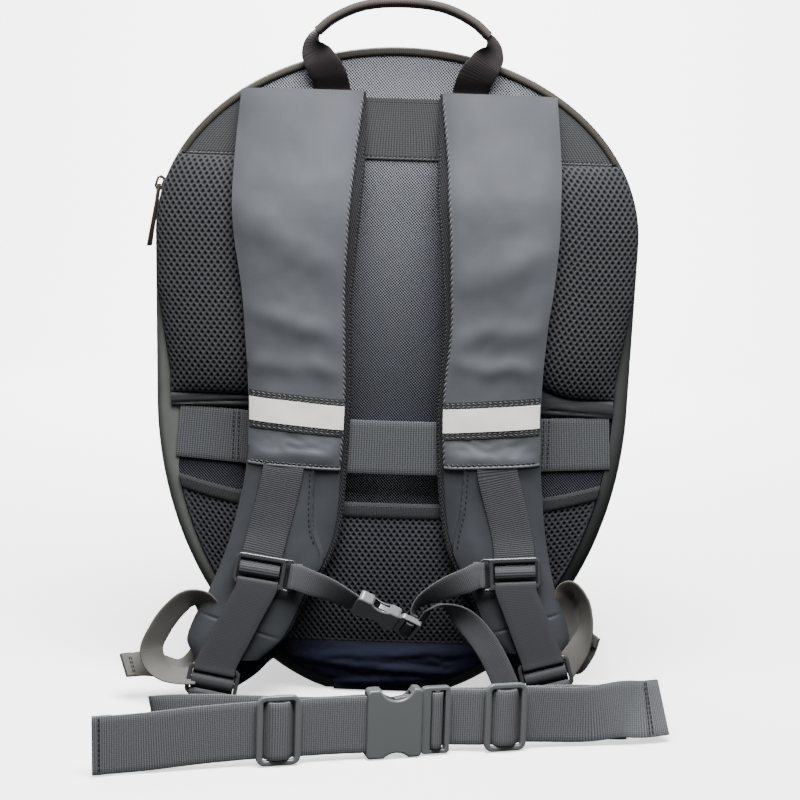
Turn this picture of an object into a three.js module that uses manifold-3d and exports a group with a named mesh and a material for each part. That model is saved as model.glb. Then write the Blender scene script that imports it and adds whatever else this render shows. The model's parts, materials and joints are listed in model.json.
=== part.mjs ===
// Hard-shell motorcycle backpack, seen from its harness side: egg-shaped back, padded mesh,
// shoulder straps, sternum strap and waist belt. Millimetres, +Z up, origin at the middle of
// the flat base. The harness faces -Y, the moulded shell faces +Y, and left is -X.
import * as THREE from 'three';
import { mergeVertices } from 'three/addons/utils/BufferGeometryUtils.js';
import Module from 'manifold-3d';

const wasm = await Module();
wasm.setup();

// Driving dimensions

// The back's outline: an ellipse above, nearly straight sides, and an ellipse below cut flat by the floor.
const CROWN = { centreZ: 328, half: 169, rise: 130 };
const BELLY = { centreZ: 215, half: 166.5, drop: 222 };
const BACK_Y = -42;
const GAP = 0.4;
const WALL = 2.5;
const SHELL_RIM_Y = -4;
const SHELL_WALL = 3;
const SHELL_CENTRE_Z = 235;
const ZIP_WIDTH = 17.6;
const ZIP_LOWEST_Z = 70;
const LIP = 10;
const PANEL_THICK = 3.5;
const PIPING_RADIUS = 3;
const BAND_THICK = 1.6;
const PAD = { top: 379.5, bottom: 219, inner: 40, edge: 3, crown: 14, stripFrom: 290 };
const PAD_HEM = { height: 11, thick: 5 };
const TOP_BAND = { bottom: 381.5, top: 423.5 };
const LUGGAGE_BAND = { height: 38, sewnFrom: 107, lift: 12.6, endZ: 187, sag: 6 };
const POCKET = { bottom: 38, middleTop: 141, endRise: 15, inset: 15, bulge: 12, thick: 2.2, hem: 10.5 };
const STRAP = { half: 3.5, edgeHalf: 1.0, cover: 1.6, hemZ: 168 };
const WEB = 1.4;
const SHOULDER_WEB = 28.5;
const TAIL_WEB = 20;
const STERNUM_WEB = 18;
const BELT_WEB = 38;
const BELT = { x: 17, forward: 140, z: 23.6, turnDeg: 16 };

const SOFT = { rubberised: 0x4b4f55, lining: 0x2d2e33, mesh: 0x35363c, twill: 0x5b5c63, webbing: 0x3f4146 };
const finish = (color, roughness) => new THREE.MeshStandardMaterial({ color, roughness, metalness: 0 });
const MATERIAL = {
  shell: finish(0x2b2d30, 0.55),
  screen: finish(0x0b0c0e, 0.2),
  rubberised: finish(SOFT.rubberised, 0.5),
  twill: finish(SOFT.twill, 0.85),
  mesh: finish(SOFT.mesh, 0.95),
  lining: finish(SOFT.lining, 0.9),
  base: finish(0x1b1c24, 0.8),
  webbing: finish(SOFT.webbing, 0.8),
  piping: finish(0x55534e, 0.85),
  handle: finish(0x2a2527, 0.7),
  reflector: finish(0xd2cfcd, 0.35),
  plastic: finish(0x36383b, 0.4),
  puller: finish(0x3a3330, 0.5),
};

const V = (x, y, z) => new THREE.Vector3(x, y, z);
const pack = new THREE.Group();

function add(name, geometry, material, parent = pack) {
  const mesh = new THREE.Mesh(geometry, MATERIAL[material]);
  mesh.name = name;
  parent.add(mesh);
  return mesh;
}

// Turns rows of numbers into objects with named columns.
function table(columns, rows) {
  const names = columns.split(' ');
  return rows.map((row) => Object.fromEntries(names.map((name, i) => [name, row[i]])));
}

// Smooth reading of one table column at a height, by cosine steps between its rows.
function readAt(rows, z, column) {
  const sorted = [...rows].sort((a, b) => b.z - a.z);
  if (z >= sorted[0].z) return sorted[0][column];
  for (let i = 1; i < sorted.length; i++) {
    if (z < sorted[i].z) continue;
    const t = (sorted[i - 1].z - z) / (sorted[i - 1].z - sorted[i].z);
    return sorted[i - 1][column] + (sorted[i][column] - sorted[i - 1][column]) * t;
  }
  return sorted[sorted.length - 1][column];
}

// Solids from points

// A closed body from points and triangles, turned so that its faces point out.
function solid(points, faces) {
  const cross = V();
  const signedVolume = ([a, b, c]) => points[a].dot(cross.crossVectors(points[b], points[c]));
  const volume = faces.reduce((sum, face) => sum + signedVolume(face), 0);
  const geometry = new THREE.BufferGeometry();
  const numbers = points.flatMap((p) => [p.x, p.y, p.z]);
  geometry.setAttribute('position', new THREE.Float32BufferAttribute(numbers, 3));
  geometry.setIndex(faces.flatMap(([a, b, c]) => (volume > 0 ? [a, b, c] : [a, c, b])));
  geometry.computeVertexNormals();
  return geometry;
}

// Joins closed sections of equal size end to end, or into a ring. Caps are fans unless triples are given.
function loft(sections, { ring = false, cap = null } = {}) {
  const size = sections[0].length;
  const faces = [];
  const spans = ring ? sections.length : sections.length - 1;
  for (let s = 0; s < spans; s++) {
    const near = s * size;
    const far = ((s + 1) % sections.length) * size;
    for (let i = 0; i < size; i++) {
      const j = (i + 1) % size;
      faces.push([near + i, near + j, far + j], [near + i, far + j, far + i]);
    }
  }
  if (!ring) {
    const fan = cap ?? Array.from({ length: size - 2 }, (_, i) => [0, i + 1, i + 2]);
    const last = (sections.length - 1) * size;
    for (const [a, b, c] of fan) faces.push([a, c, b], [last + a, last + b, last + c]);
  }
  return solid(sections.flat(), faces);
}

// A wall between two surfaces front(u, v) and back(u, v), with u and v from 0 to 1.
function slab(acrossCount, alongCount, front, back) {
  const row = acrossCount + 1;
  const points = [front, back].flatMap((side) => Array.from({ length: row * (alongCount + 1) }, (_, k) =>
    side((k % row) / acrossCount, Math.floor(k / row) / alongCount)));
  const under = row * (alongCount + 1);
  const faces = [];
  const quad = (a, b, c, d) => faces.push([a, b, c], [a, c, d]);
  for (let j = 0; j < alongCount; j++) {
    for (let i = 0; i < acrossCount; i++) {
      const a = j * row + i;
      quad(a, a + 1, a + row + 1, a + row);
      quad(under + a, under + a + row, under + a + row + 1, under + a + 1);
    }
    const left = j * row;
    const right = left + acrossCount;
    quad(left, left + row, under + left + row, under + left);
    quad(right, under + right, under + right + row, right + row);
  }
  for (let i = 0; i < acrossCount; i++) {
    const top = alongCount * row + i;
    quad(i, under + i, under + i + 1, i + 1);
    quad(top, top + 1, under + top + 1, under + top);
  }
  return solid(points, faces);
}

// A flat strap along a smooth curve. Each row has a point and the direction of the strap's width.
function ribbon(rows, width, thick, stepsPerRow) {
  const path = new THREE.CatmullRomCurve3(rows.map((r) => r.at));
  const side = new THREE.CatmullRomCurve3(rows.map((r) => r.across), false, 'catmullrom', 0.5);
  const steps = (rows.length - 1) * stepsPerRow;
  const frames = Array.from({ length: steps + 1 }, (_, i) => {
    const along = path.getTangent(i / steps);
    const across = side.getPoint(i / steps);
    across.addScaledVector(along, -across.dot(along)).normalize();
    const normal = V().crossVectors(along, across);
    return { at: path.getPoint(i / steps), across, normal };
  });
  const face = (sign) => (u, v) => {
    const { at, across, normal } = frames[Math.round(v * steps)];
    return at.clone().addScaledVector(across, (u - 0.5) * width).addScaledVector(normal, (sign * thick) / 2);
  };
  return slab(1, steps, face(1), face(-1));
}

// A flat piece drawn in X and Z, with its back at backY and its thickness towards the wearer.
function plate(shape, thick, backY) {
  const geometry = new THREE.ExtrudeGeometry(shape, { depth: thick, bevelEnabled: false, curveSegments: 2 });
  return geometry.rotateX(Math.PI / 2).translate(0, backY, 0);
}

function roundedRect(path, left, bottom, right, top, radius) {
  path.moveTo(left + radius, bottom);
  path.lineTo(right - radius, bottom);
  path.absarc(right - radius, bottom + radius, radius, -Math.PI / 2, 0);
  path.lineTo(right, top - radius);
  path.absarc(right - radius, top - radius, radius, 0, Math.PI / 2);
  path.lineTo(left + radius, top);
  path.absarc(left + radius, top - radius, radius, Math.PI / 2, Math.PI);
  path.lineTo(left, bottom + radius);
  path.absarc(left + radius, bottom + radius, radius, Math.PI, Math.PI * 1.5);
  return path;
}

function manifoldOf(geometry) {
  const bare = geometry.clone();
  bare.deleteAttribute('normal');
  bare.deleteAttribute('uv');
  const merged = mergeVertices(bare, 1e-4);
  const vertProperties = new Float32Array(merged.attributes.position.array);
  const triVerts = new Uint32Array(merged.index.array);
  return new wasm.Manifold(new wasm.Mesh({ numProp: 3, vertProperties, triVerts }));
}

function geometryOf(body) {
  const mesh = body.getMesh();
  const geometry = new THREE.BufferGeometry();
  geometry.setAttribute('position', new THREE.Float32BufferAttribute(mesh.vertProperties, 3));
  geometry.setIndex([...mesh.triVerts]);
  geometry.computeVertexNormals();
  return geometry;
}

const joined = (first, ...others) =>
  geometryOf(others.reduce((body, g) => body.add(manifoldOf(g)), manifoldOf(first)));
const cut = (first, ...others) =>
  geometryOf(others.reduce((body, g) => body.subtract(manifoldOf(g)), manifoldOf(first)));
const box = (x, y, z, cx, cy, cz) => new THREE.BoxGeometry(x, y, z).translate(cx, cy, cz);

// The outline

const FLAT_HALF = BELLY.half * Math.sqrt(1 - (BELLY.centreZ / BELLY.drop) ** 2);
const OUTLINE = makeOutline(8, 2, 9);

// Points of the back's outline, anticlockwise from the middle of the base, each with its outward normal.
function makeOutline(bellySteps, sideSteps, crownSteps) {
  const half = [[0, 0]];
  const start = Math.asin(BELLY.centreZ / BELLY.drop);
  for (let i = 0; i <= bellySteps; i++) {
    const a = -start * (1 - i / bellySteps);
    half.push([BELLY.half * Math.cos(a), BELLY.centreZ + BELLY.drop * Math.sin(a)]);
  }
  half[1] = [FLAT_HALF, 0];
  for (let i = 1; i < sideSteps; i++) {
    const between = (from, to) => from + ((to - from) * i) / sideSteps;
    half.push([between(BELLY.half, CROWN.half), between(BELLY.centreZ, CROWN.centreZ)]);
  }
  for (let i = 0; i <= crownSteps; i++) {
    const a = (Math.PI / 2) * (i / crownSteps);
    half.push([CROWN.half * Math.cos(a), CROWN.centreZ + CROWN.rise * Math.sin(a)]);
  }
  const mirrored = half.slice(1, -1).reverse().map(([x, z]) => [-x, z]);
  const points = [...half.slice(0, -1), [0, CROWN.centreZ + CROWN.rise], ...mirrored];
  return points.map(([x, z], i) => {
    const [ax, az] = points[(i + points.length - 1) % points.length];
    const [bx, bz] = points[(i + 1) % points.length];
    const length = Math.hypot(bx - ax, bz - az);
    return { x, z, nx: (bz - az) / length, nz: -(bx - ax) / length };
  });
}

const rim = (inset) => OUTLINE.map((p) => ({ x: p.x - p.nx * inset, z: p.z - p.nz * inset }));

// Half the width at a height, on the outline moved in by an inset.
function halfAt(z, inset) {
  const right = rim(inset).filter((p) => p.x >= 0).sort((a, b) => a.z - b.z);
  for (let i = 1; i < right.length; i++) {
    if (z > right[i].z) continue;
    const t = (z - right[i - 1].z) / Math.max(1e-6, right[i].z - right[i - 1].z);
    return right[i - 1].x + (right[i].x - right[i - 1].x) * Math.max(0, t);
  }
  return 0;
}

// A section of [inset, y] pairs swept round the outline, or along the run of its points that keep() picks.
// The run stops short of its last points by the given trim.
function swept(profile, keep, trim = 0) {
  const section = (p) => profile.map(([inset, y]) => V(p.x - p.nx * inset, y, p.z - p.nz * inset));
  if (!keep) return loft(OUTLINE.map(section), { ring: true });
  const gap = OUTLINE.findIndex((p) => !keep(p));
  const arch = [...OUTLINE.slice(gap), ...OUTLINE.slice(0, gap)].filter(keep);
  const short = (p, next) => {
    const t = trim / Math.hypot(next.x - p.x, next.z - p.z);
    return { ...p, x: p.x + (next.x - p.x) * t, z: p.z + (next.z - p.z) * t };
  };
  const last = arch.length - 1;
  [arch[0], arch[last]] = [short(arch[0], arch[1]), short(arch[last], arch[last - 1])];
  const flat = profile.map(([inset, y]) => new THREE.Vector2(inset, y));
  const cap = THREE.ShapeUtils.triangulateShape(flat, []);
  const firstTriangle = cap[0].map((i) => flat[i]);
  const turnsBack = THREE.ShapeUtils.isClockWise(flat) !== THREE.ShapeUtils.isClockWise(firstTriangle);
  return loft(arch.map(section), { cap: turnsBack ? cap.map(([a, b, c]) => [a, c, b]) : cap });
}

const inFront = (forward) => BACK_Y - forward;

// The moulded shell: a deep cup with a flat base, open towards the back

// Each row scales the outline about the shell's centre. Below it, the base stays flat on the floor for longer.
const SHELL_ROWS = table('y scale below', [
  [SHELL_RIM_Y, 1, 1], [45, 1, 1], [73, 0.965, 1], [96, 0.89, 0.955], [113, 0.77, 0.86], [122, 0.6, 0.68],
]);
const SCREEN = { width: 150, height: 170, radius: 18, thick: 2.5 };

function shellRing({ scale, below }, y, inset) {
  return rim(inset).map((p) => {
    const up = p.z - SHELL_CENTRE_Z;
    return V(p.x * scale, y, SHELL_CENTRE_Z + up * (up < 0 ? below : scale));
  });
}

function shellCup() {
  const outer = SHELL_ROWS.map((r) => shellRing(r, r.y, 0));
  const inner = SHELL_ROWS.map((r) => shellRing(r, r.y - (r.y > 0 ? SHELL_WALL : 0), SHELL_WALL));
  const rings = [...outer.reverse(), ...inner];
  const size = OUTLINE.length;
  const points = rings.flat();
  const faces = [];
  for (let s = 0; s < rings.length - 1; s++) {
    for (let i = 0; i < size; i++) {
      const [a, b] = [s * size + i, s * size + ((i + 1) % size)];
      faces.push([a, b, b + size], [a, b + size, a + size]);
    }
  }
  for (const [first, flip] of [[0, true], [(rings.length - 1) * size, false]]) {
    const middle = points.length;
    points.push(V(0, points[first].y, SHELL_CENTRE_Z));
    for (let i = 0; i < size; i++) {
      const pair = [first + i, first + ((i + 1) % size)];
      faces.push(flip ? [middle, pair[1], pair[0]] : [middle, pair[0], pair[1]]);
    }
  }
  return solid(points, faces);
}

add('shell', shellCup(), 'shell');
const screenShape = roundedRect(new THREE.Shape(), -SCREEN.width / 2, SHELL_CENTRE_Z - SCREEN.height / 2,
  SCREEN.width / 2, SHELL_CENTRE_Z + SCREEN.height / 2, SCREEN.radius);
const shellFrontY = SHELL_ROWS[SHELL_ROWS.length - 1].y;
add('screen_window', plate(screenShape, SCREEN.thick, shellFrontY + GAP + SCREEN.thick), 'screen');

// The rear gusset, its zip, and the back panel that closes them

const ZIP_BACK_Y = SHELL_RIM_Y - GAP - ZIP_WIDTH;
const gussetFrontY = ZIP_BACK_Y - GAP;
const gussetProfile = [
  [0, gussetFrontY], [0, BACK_Y + 6], [1.8, BACK_Y + 1.8], [6, BACK_Y], [LIP, BACK_Y],
  [LIP, BACK_Y + 2.2], [6.6, BACK_Y + WALL], [3.6, BACK_Y + 4], [WALL, BACK_Y + 6.5], [WALL, gussetFrontY],
];
add('rear_gusset', swept(gussetProfile), 'rubberised');

// Below the zip's two ends the shell and the gusset are joined by a fabric hinge.
const ZIP_FRONT_Y = ZIP_BACK_Y + ZIP_WIDTH;
const hingeProfile = [[0, ZIP_BACK_Y], [0, ZIP_FRONT_Y], [WALL, ZIP_FRONT_Y], [WALL, ZIP_BACK_Y]];
const zipEnd = OUTLINE.find((p) => p.z > ZIP_LOWEST_Z).z;
add('gusset_hinge', swept(hingeProfile, (p) => p.z < zipEnd + 0.01, GAP), 'base');

const COIL = { half: 2.6, height: 1.8 };
const zipMidY = ZIP_BACK_Y + ZIP_WIDTH / 2;
const TAPE = { top: 0.6, under: 1.8 };
const zipProfile = [
  [TAPE.under, ZIP_BACK_Y], [TAPE.top, ZIP_BACK_Y], [TAPE.top, zipMidY - COIL.half],
  [TAPE.top - COIL.height, zipMidY - COIL.half * 0.6], [TAPE.top - COIL.height, zipMidY + COIL.half * 0.6],
  [TAPE.top, zipMidY + COIL.half], [TAPE.top, ZIP_FRONT_Y], [TAPE.under, ZIP_FRONT_Y],
];
add('zip', swept(zipProfile, (p) => p.z > zipEnd - 0.01), 'webbing');

const shapeOf = (points) => new THREE.Shape(points.map((p) => new THREE.Vector2(p.x, p.z)));
add('back_panel', plate(shapeOf(rim(LIP + 0.6)), PANEL_THICK, BACK_Y + PANEL_THICK), 'twill');

function pipingArch() {
  const lowest = Math.asin((TOP_BAND.bottom + 3 - CROWN.centreZ) / CROWN.rise);
  const steps = 22;
  const inset = PIPING_RADIUS + 0.4;
  const forward = PIPING_RADIUS - 0.3;
  const sections = Array.from({ length: steps + 1 }, (_, i) => {
    const a = lowest + (Math.PI - 2 * lowest) * (i / steps);
    const normal = V(Math.cos(a) / CROWN.half, 0, Math.sin(a) / CROWN.rise).normalize();
    const centre = V(CROWN.half * Math.cos(a), inFront(forward), CROWN.centreZ + CROWN.rise * Math.sin(a));
    centre.addScaledVector(normal, -inset);
    return Array.from({ length: 8 }, (_, k) => {
      const turn = (k / 8) * Math.PI * 2;
      return centre.clone().addScaledVector(normal, PIPING_RADIUS * Math.cos(turn))
        .add(V(0, PIPING_RADIUS * Math.sin(turn), 0));
    });
  });
  return loft(sections);
}
add('piping', pipingArch(), 'piping');

// Mesh pads, their hems, the two cross bands, the pocket and the base skirt

const bump = (t, power) => 1 - Math.abs(2 * t - 1) ** power;
const hill = (z, fold) => Math.exp(-(((z - fold.z) / fold.height) ** 2));

function meshPad(side) {
  const place = (u, v, forward) => {
    const z = PAD.bottom + (PAD.top - PAD.bottom) * v;
    const outer = halfAt(z, 1 + (LIP - 1) * Math.min(1, Math.max(0, (PAD.stripFrom - z) / 60)));
    return V(side * (PAD.inner + (outer - PAD.inner) * u), inFront(forward), z);
  };
  const thick = (u, v) => PAD.edge + (PAD.crown - PAD.edge) * Math.sqrt(bump(u, 3) * bump(v, 4));
  return slab(7, 8, (u, v) => place(u, v, GAP + thick(u, v)), (u, v) => place(u, v, GAP));
}

function padHem(side) {
  const low = PAD.bottom - GAP - PAD_HEM.height;
  const place = (u, v, forward) => {
    const z = low + PAD_HEM.height * v;
    return V(side * (PAD.inner + (halfAt(z, LIP + 2) - PAD.inner) * u), inFront(forward), z);
  };
  const thick = (v) => 1.5 + (PAD_HEM.thick - 1.5) * bump(v, 2);
  return slab(2, 4, (u, v) => place(u, v, GAP + thick(v)), (u, v) => place(u, v, GAP));
}

function topBand() {
  const place = (u, v, forward) => {
    const z = TOP_BAND.bottom + (TOP_BAND.top - TOP_BAND.bottom) * v;
    return V((2 * u - 1) * halfAt(z, 8), inFront(forward), z);
  };
  return slab(2, 4, (u, v) => place(u, v, GAP + BAND_THICK), (u, v) => place(u, v, GAP));
}

// Sewn flat at its ends and standing off the panel between them, so that a luggage handle passes behind.
const LUGGAGE_ROWS = table('share lift', [
  [-1, 0], [-0.74, 0], [-0.7, 0.07], [-0.57, 0.7], [-0.42, 1], [0, 1.04],
  [0.42, 1], [0.57, 0.7], [0.7, 0.07], [0.74, 0], [1, 0],
]);
function luggageBand() {
  const half = LUGGAGE_BAND.sewnFrom / 0.71;
  const rows = LUGGAGE_ROWS.map(({ share, lift }) => ({
    at: V(share * half, inFront(GAP + 0.2 + BAND_THICK / 2 + LUGGAGE_BAND.lift * lift),
      LUGGAGE_BAND.endZ - LUGGAGE_BAND.sag * (1 - share ** 2)),
    across: V(0, 0, 1),
  }));
  return ribbon(rows, LUGGAGE_BAND.height, BAND_THICK, 2);
}

const pocketTop = (u) => POCKET.middleTop + POCKET.endRise * Math.abs(u) ** 3;
const pocketForward = (u, v) => GAP + 0.2 + POCKET.bulge * (1 - Math.abs(u) ** 2.5) * (1 - (1 - v) ** 3);

// A point of the pocket: u from -1 to 1 across, v from 0 at its foot to 1 at its mouth.
function pocketPoint(u, v, forward) {
  const z = POCKET.bottom + (pocketTop(u) - POCKET.bottom) * v;
  return V(u * halfAt(z, POCKET.inset), inFront(pocketForward(u, v) + forward), z);
}

function pocketPiece(from, to, thick, alongCount) {
  const share = (t) => 2 * t - 1;
  const height = (u, v) => {
    const all = pocketTop(u) - POCKET.bottom;
    const [low, high] = [from, to].map((edge) => (edge >= 0 ? edge : all + edge));
    return (low + (high - low) * v) / all;
  };
  return slab(12, alongCount, (u, v) => pocketPoint(share(u), height(share(u), v), thick),
    (u, v) => pocketPoint(share(u), height(share(u), v), 0));
}

const SKIRT_FOLDS = table('z height depth lean', [
  [29, 3.5, 2.2, 0.05], [19, 3, 2.6, -0.07], [9, 3, 1.8, 0.04],
]);
function baseSkirt() {
  const [low, high] = [1.2, POCKET.bottom - GAP];
  const place = (u, v, thick) => {
    const share = 2 * u - 1;
    const z = low + (high - low) * v;
    const x = share * halfAt(Math.max(z, 10), 9.5);
    const folds = SKIRT_FOLDS.reduce((sum, f) => sum + f.depth * hill(z - f.lean * x, f), 0);
    const swell = (1 - share ** 4) * (bump(v, 2) * 3 + folds);
    return V(x, inFront(GAP + 0.2 + swell + thick), z);
  };
  return slab(8, 8, (u, v) => place(u, v, 2), (u, v) => place(u, v, 0));
}

const SIDES = [['left', -1], ['right', 1]];
for (const [word, side] of SIDES) {
  add(`mesh_pad_${word}`, meshPad(side), 'mesh');
  add(`pad_hem_${word}`, padHem(side), 'rubberised');
}
add('top_band', topBand(), 'webbing');
add('luggage_band', luggageBand(), 'webbing');
add('mesh_pocket', pocketPiece(0, -POCKET.hem - GAP, POCKET.thick, 6), 'mesh');
add('pocket_hem', pocketPiece(-POCKET.hem, -0.01, POCKET.thick + 0.8, 1), 'lining');
add('base_skirt', baseSkirt(), 'base');

// The carrying handle: a wrapped grip on two webbing legs that twist a quarter turn

const GRIP = { width: 21, thick: 6.4, forward: 14 };
const GRIP_ROWS = table('x z', [
  [-64, 460], [-60, 466.5], [-48, 476], [-28, 484.5], [0, 487.5],
  [28, 484.5], [48, 476], [60, 466.5], [64, 460],
]);
const LEG_WEB = 25;
const LEG_ROWS = table('x z forward ax ay', [
  [47.5, 425.5, 1.5, 1, 0], [47.6, 429, 2.2, 1, 0], [53, 438.5, 9.6, 1, 0],
  [60.5, 447.5, 13.6, 1, 0.1], [63.5, 453, 14, 0.75, 0.65], [64.2, 457.7, 14, 0.1, 1],
]);

const gripPath = GRIP_ROWS.map((r) => ({ at: V(r.x, inFront(GRIP.forward), r.z), across: V(0, 1, 0) }));
add('handle_grip', ribbon(gripPath, GRIP.width, GRIP.thick, 2), 'handle');
for (const [word, side] of SIDES) {
  const rows = LEG_ROWS.map((r) => ({
    at: V(side * r.x, inFront(r.forward), r.z), across: V(r.ax, side * r.ay, 0),
  }));
  add(`handle_leg_${word}`, ribbon(rows, LEG_WEB, BAND_THICK, 3), 'handle');
}

// Shoulder straps: a mesh-lined pad, a rubberised cover above and below the hem, and a reflective band

const STRAP_ROWS = {
  left: table('z x width forward', [
    [427.5, -67, 84, 7], [384, -71, 83, 11.5], [350, -73, 81, 19], [326, -72.5, 78, 20], [289, -70, 71, 20],
    [257, -68, 69, 20], [214, -66, 67, 20], [167, -67, 66, 21], [126, -72, 71, 24], [102, -79, 71, 27],
    [81, -89, 68, 30], [46, -105, 66, 35], [31, -110, 44, 37],
  ]),
  right: table('z x width forward', [
    [427.5, 67, 79, 7], [381, 72, 78, 11.5], [355, 73, 77, 19], [330, 74, 75, 20], [294, 73.5, 71, 20],
    [269, 72.5, 67, 20], [218, 69.5, 68, 20], [171, 71, 68, 21], [130, 75, 68, 24], [107, 80, 66, 27],
    [86.5, 88, 60, 30], [54.5, 101, 56, 35], [42, 105, 40, 37],
  ]),
};
const STRAP_FOLDS = table('z height depth', [[338, 9, 1.3], [306, 8, 1.6], [277, 8, 1.4], [247, 9, 1.8]]);
const UPPER_HEIGHTS = [384, 367, 352, 338, 322, 306, 291, 277, 262, 247, 232, 214, STRAP.hemZ];
const LOWER_HEIGHTS = [150, 126, 102, 81, 63, 46];
const REFLECTOR = { height: 16.5, trim: 6, thick: 0.6, z: 205, lean: 2.8 };
const COVER_REACH = 0.97;
const COVER_SHARES = [-1, -0.71, 0, 0.71, 1];
const LINING_ROWS = table('z width', [[427, 0.8], [360, 9], [170, 9], [100, 4], [31, 1]]);

const swellAt = (z) => STRAP_FOLDS.reduce((sum, f) => sum + f.depth * hill(z, f), 0);
const toEdge = (share) => Math.min(1, Math.abs(share));
const strapHalf = (share) => STRAP.edgeHalf + (STRAP.half - STRAP.edgeHalf) * (1 - toEdge(share) ** 6);

// A point of a strap: share from -1 to 1 across, at a height, raised above the strap's middle surface.
function strapPoint(word, share, z, raise) {
  const rows = STRAP_ROWS[word];
  const forward = readAt(rows, z, 'forward') - 1.6 * share ** 2 + raise;
  return V(readAt(rows, z, 'x') + (share * readAt(rows, z, 'width')) / 2, inFront(forward), z);
}

const faceRaise = (share, z) => strapHalf(share) + swellAt(z) * (1 - toEdge(share) ** 4);
const coverUnder = (share, z) => faceRaise(share, z) + 0.35;
const coverRaise = (share, z) => coverUnder(share, z) + STRAP.cover;

// The columns of a cover, and of a pad, whose lining runs on past the cover's inner edge.
const acrossCover = () => COVER_SHARES.map((share) => share * COVER_REACH);
function acrossPad(word, side) {
  return (z) => {
    const lining = (2 * readAt(LINING_ROWS, z, 'width')) / readAt(STRAP_ROWS[word], z, 'width');
    const shares = [...COVER_SHARES, 1 + lining];
    return side < 0 ? shares : shares.map((share) => -share).reverse();
  };
}

// A wall along a strap through the given heights, each a number or a function of the share across.
function strapSheet(word, across, heights, frontRaise, backRaise) {
  const columns = across(STRAP.hemZ).length - 1;
  const face = (raise) => (u, v) => {
    const row = heights[Math.round(v * (heights.length - 1))];
    const heightAt = typeof row === 'function' ? row : () => row;
    const share = across(heightAt(0))[Math.round(u * columns)];
    const z = heightAt(share);
    return strapPoint(word, share, z, raise(share, z));
  };
  return slab(columns, heights.length - 1, face(frontRaise), face(backRaise));
}

for (const [word, side] of SIDES) {
  const rows = STRAP_ROWS[word];
  const foot = rows[rows.length - 1].z;
  const top = (share) => rows[0].z - 9 * Math.max(0, side * share) ** 3;
  const padHeights = [top, ...UPPER_HEIGHTS, ...LOWER_HEIGHTS, foot];
  const coverHeights = [(share) => top(share) - 0.5, ...UPPER_HEIGHTS];
  const flapHeights = [STRAP.hemZ - GAP, ...LOWER_HEIGHTS, foot + 0.5];
  const pad = strapSheet(word, acrossPad(word, side), padHeights, faceRaise, (share) => -strapHalf(share));
  add(`strap_pad_${word}`, pad, 'lining');
  const skin = (heights) => strapSheet(word, acrossCover, heights, coverRaise, coverUnder);
  add(`strap_cover_${word}`, skin(coverHeights), 'rubberised');
  add(`strap_flap_${word}`, skin(flapHeights), 'rubberised');
  const middle = (share) => REFLECTOR.z + side * REFLECTOR.lean * share;
  const band = (half, lift) => {
    const heights = [(share) => middle(share) + half, (share) => middle(share) - half];
    const under = (share, z) => coverRaise(share, z) + lift;
    return strapSheet(word, acrossCover, heights, (share, z) => under(share, z) + REFLECTOR.thick, under);
  };
  add(`reflector_tape_${word}`, band(REFLECTOR.height / 2 + REFLECTOR.trim, GAP), 'webbing');
  add(`reflector_${word}`, band(REFLECTOR.height / 2, GAP * 2 + REFLECTOR.thick), 'reflector');
}

// Strap hardware: an adjuster with a side ring, and a lower buckle, each on a leaning plane of its own

// Where a buckle sits: its middle, and how far it leans in the picture and tips towards the floor.
function seat(x, forward, z, leanDeg, tipDeg) {
  const turn = new THREE.Euler(THREE.MathUtils.degToRad(tipDeg), THREE.MathUtils.degToRad(leanDeg), 0, 'YXZ');
  return new THREE.Matrix4().makeRotationFromEuler(turn).setPosition(x, inFront(forward), z);
}
const onSeat = (matrix, x, forward, z) => V(x, -forward, z).applyMatrix4(matrix);
const alongSeat = (matrix, x, forward, z) => V(x, -forward, z).transformDirection(matrix);

function place(name, geometry, material, matrix) {
  add(name, geometry, material).applyMatrix4(matrix);
}

const FRAME = { thick: 4, middle: 2.4, rail: 3, bar: 3.8, slot: 5.6, ring: 7.6, ringSlot: 4.6 };
const LAYER = GAP + WEB / 2 + 0.05;
const frameTop = FRAME.bar * 1.5 + FRAME.slot;
const barMiddle = FRAME.slot + FRAME.bar;
const overBar = FRAME.thick / 2 + LAYER;
const overMiddle = FRAME.middle / 2 + LAYER;
const RING_BAR = FRAME.ring - FRAME.ringSlot - 0.1;

// A flat frame with two slots round a thinner middle bar, and with a ring at one side if ringSide is set.
function slotFrame(webWidth, ringSide) {
  const inner = webWidth / 2 + 0.9;
  const outer = inner + FRAME.rail;
  const left = -outer - (ringSide < 0 ? FRAME.ring : 0);
  const right = outer + (ringSide > 0 ? FRAME.ring : 0);
  const shape = roundedRect(new THREE.Shape(), left, -frameTop, right, frameTop, 3);
  for (const end of [-1, 1]) {
    const low = (end * (FRAME.bar + FRAME.slot) - FRAME.slot) / 2;
    shape.holes.push(roundedRect(new THREE.Path(), -inner, low, inner, low + FRAME.slot, 0.8));
  }
  if (ringSide) {
    const edges = [outer + 0.1, outer + 0.1 + FRAME.ringSlot];
    const [near, far] = edges.map((x) => x * ringSide).sort((a, b) => a - b);
    const half = STERNUM_WEB / 2 + 0.6;
    shape.holes.push(roundedRect(new THREE.Path(), near, -half, far, half, 1));
  }
  const frame = plate(shape, FRAME.thick, FRAME.thick / 2);
  const shave = (FRAME.thick - FRAME.middle) / 2 + 1;
  const shaved = (FRAME.middle + shave) / 2;
  const trims = [-1, 1].map((face) => box(inner * 2 - 0.2, shave, FRAME.bar + 0.4, 0, face * shaved, 0));
  return cut(frame, ...trims);
}

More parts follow.
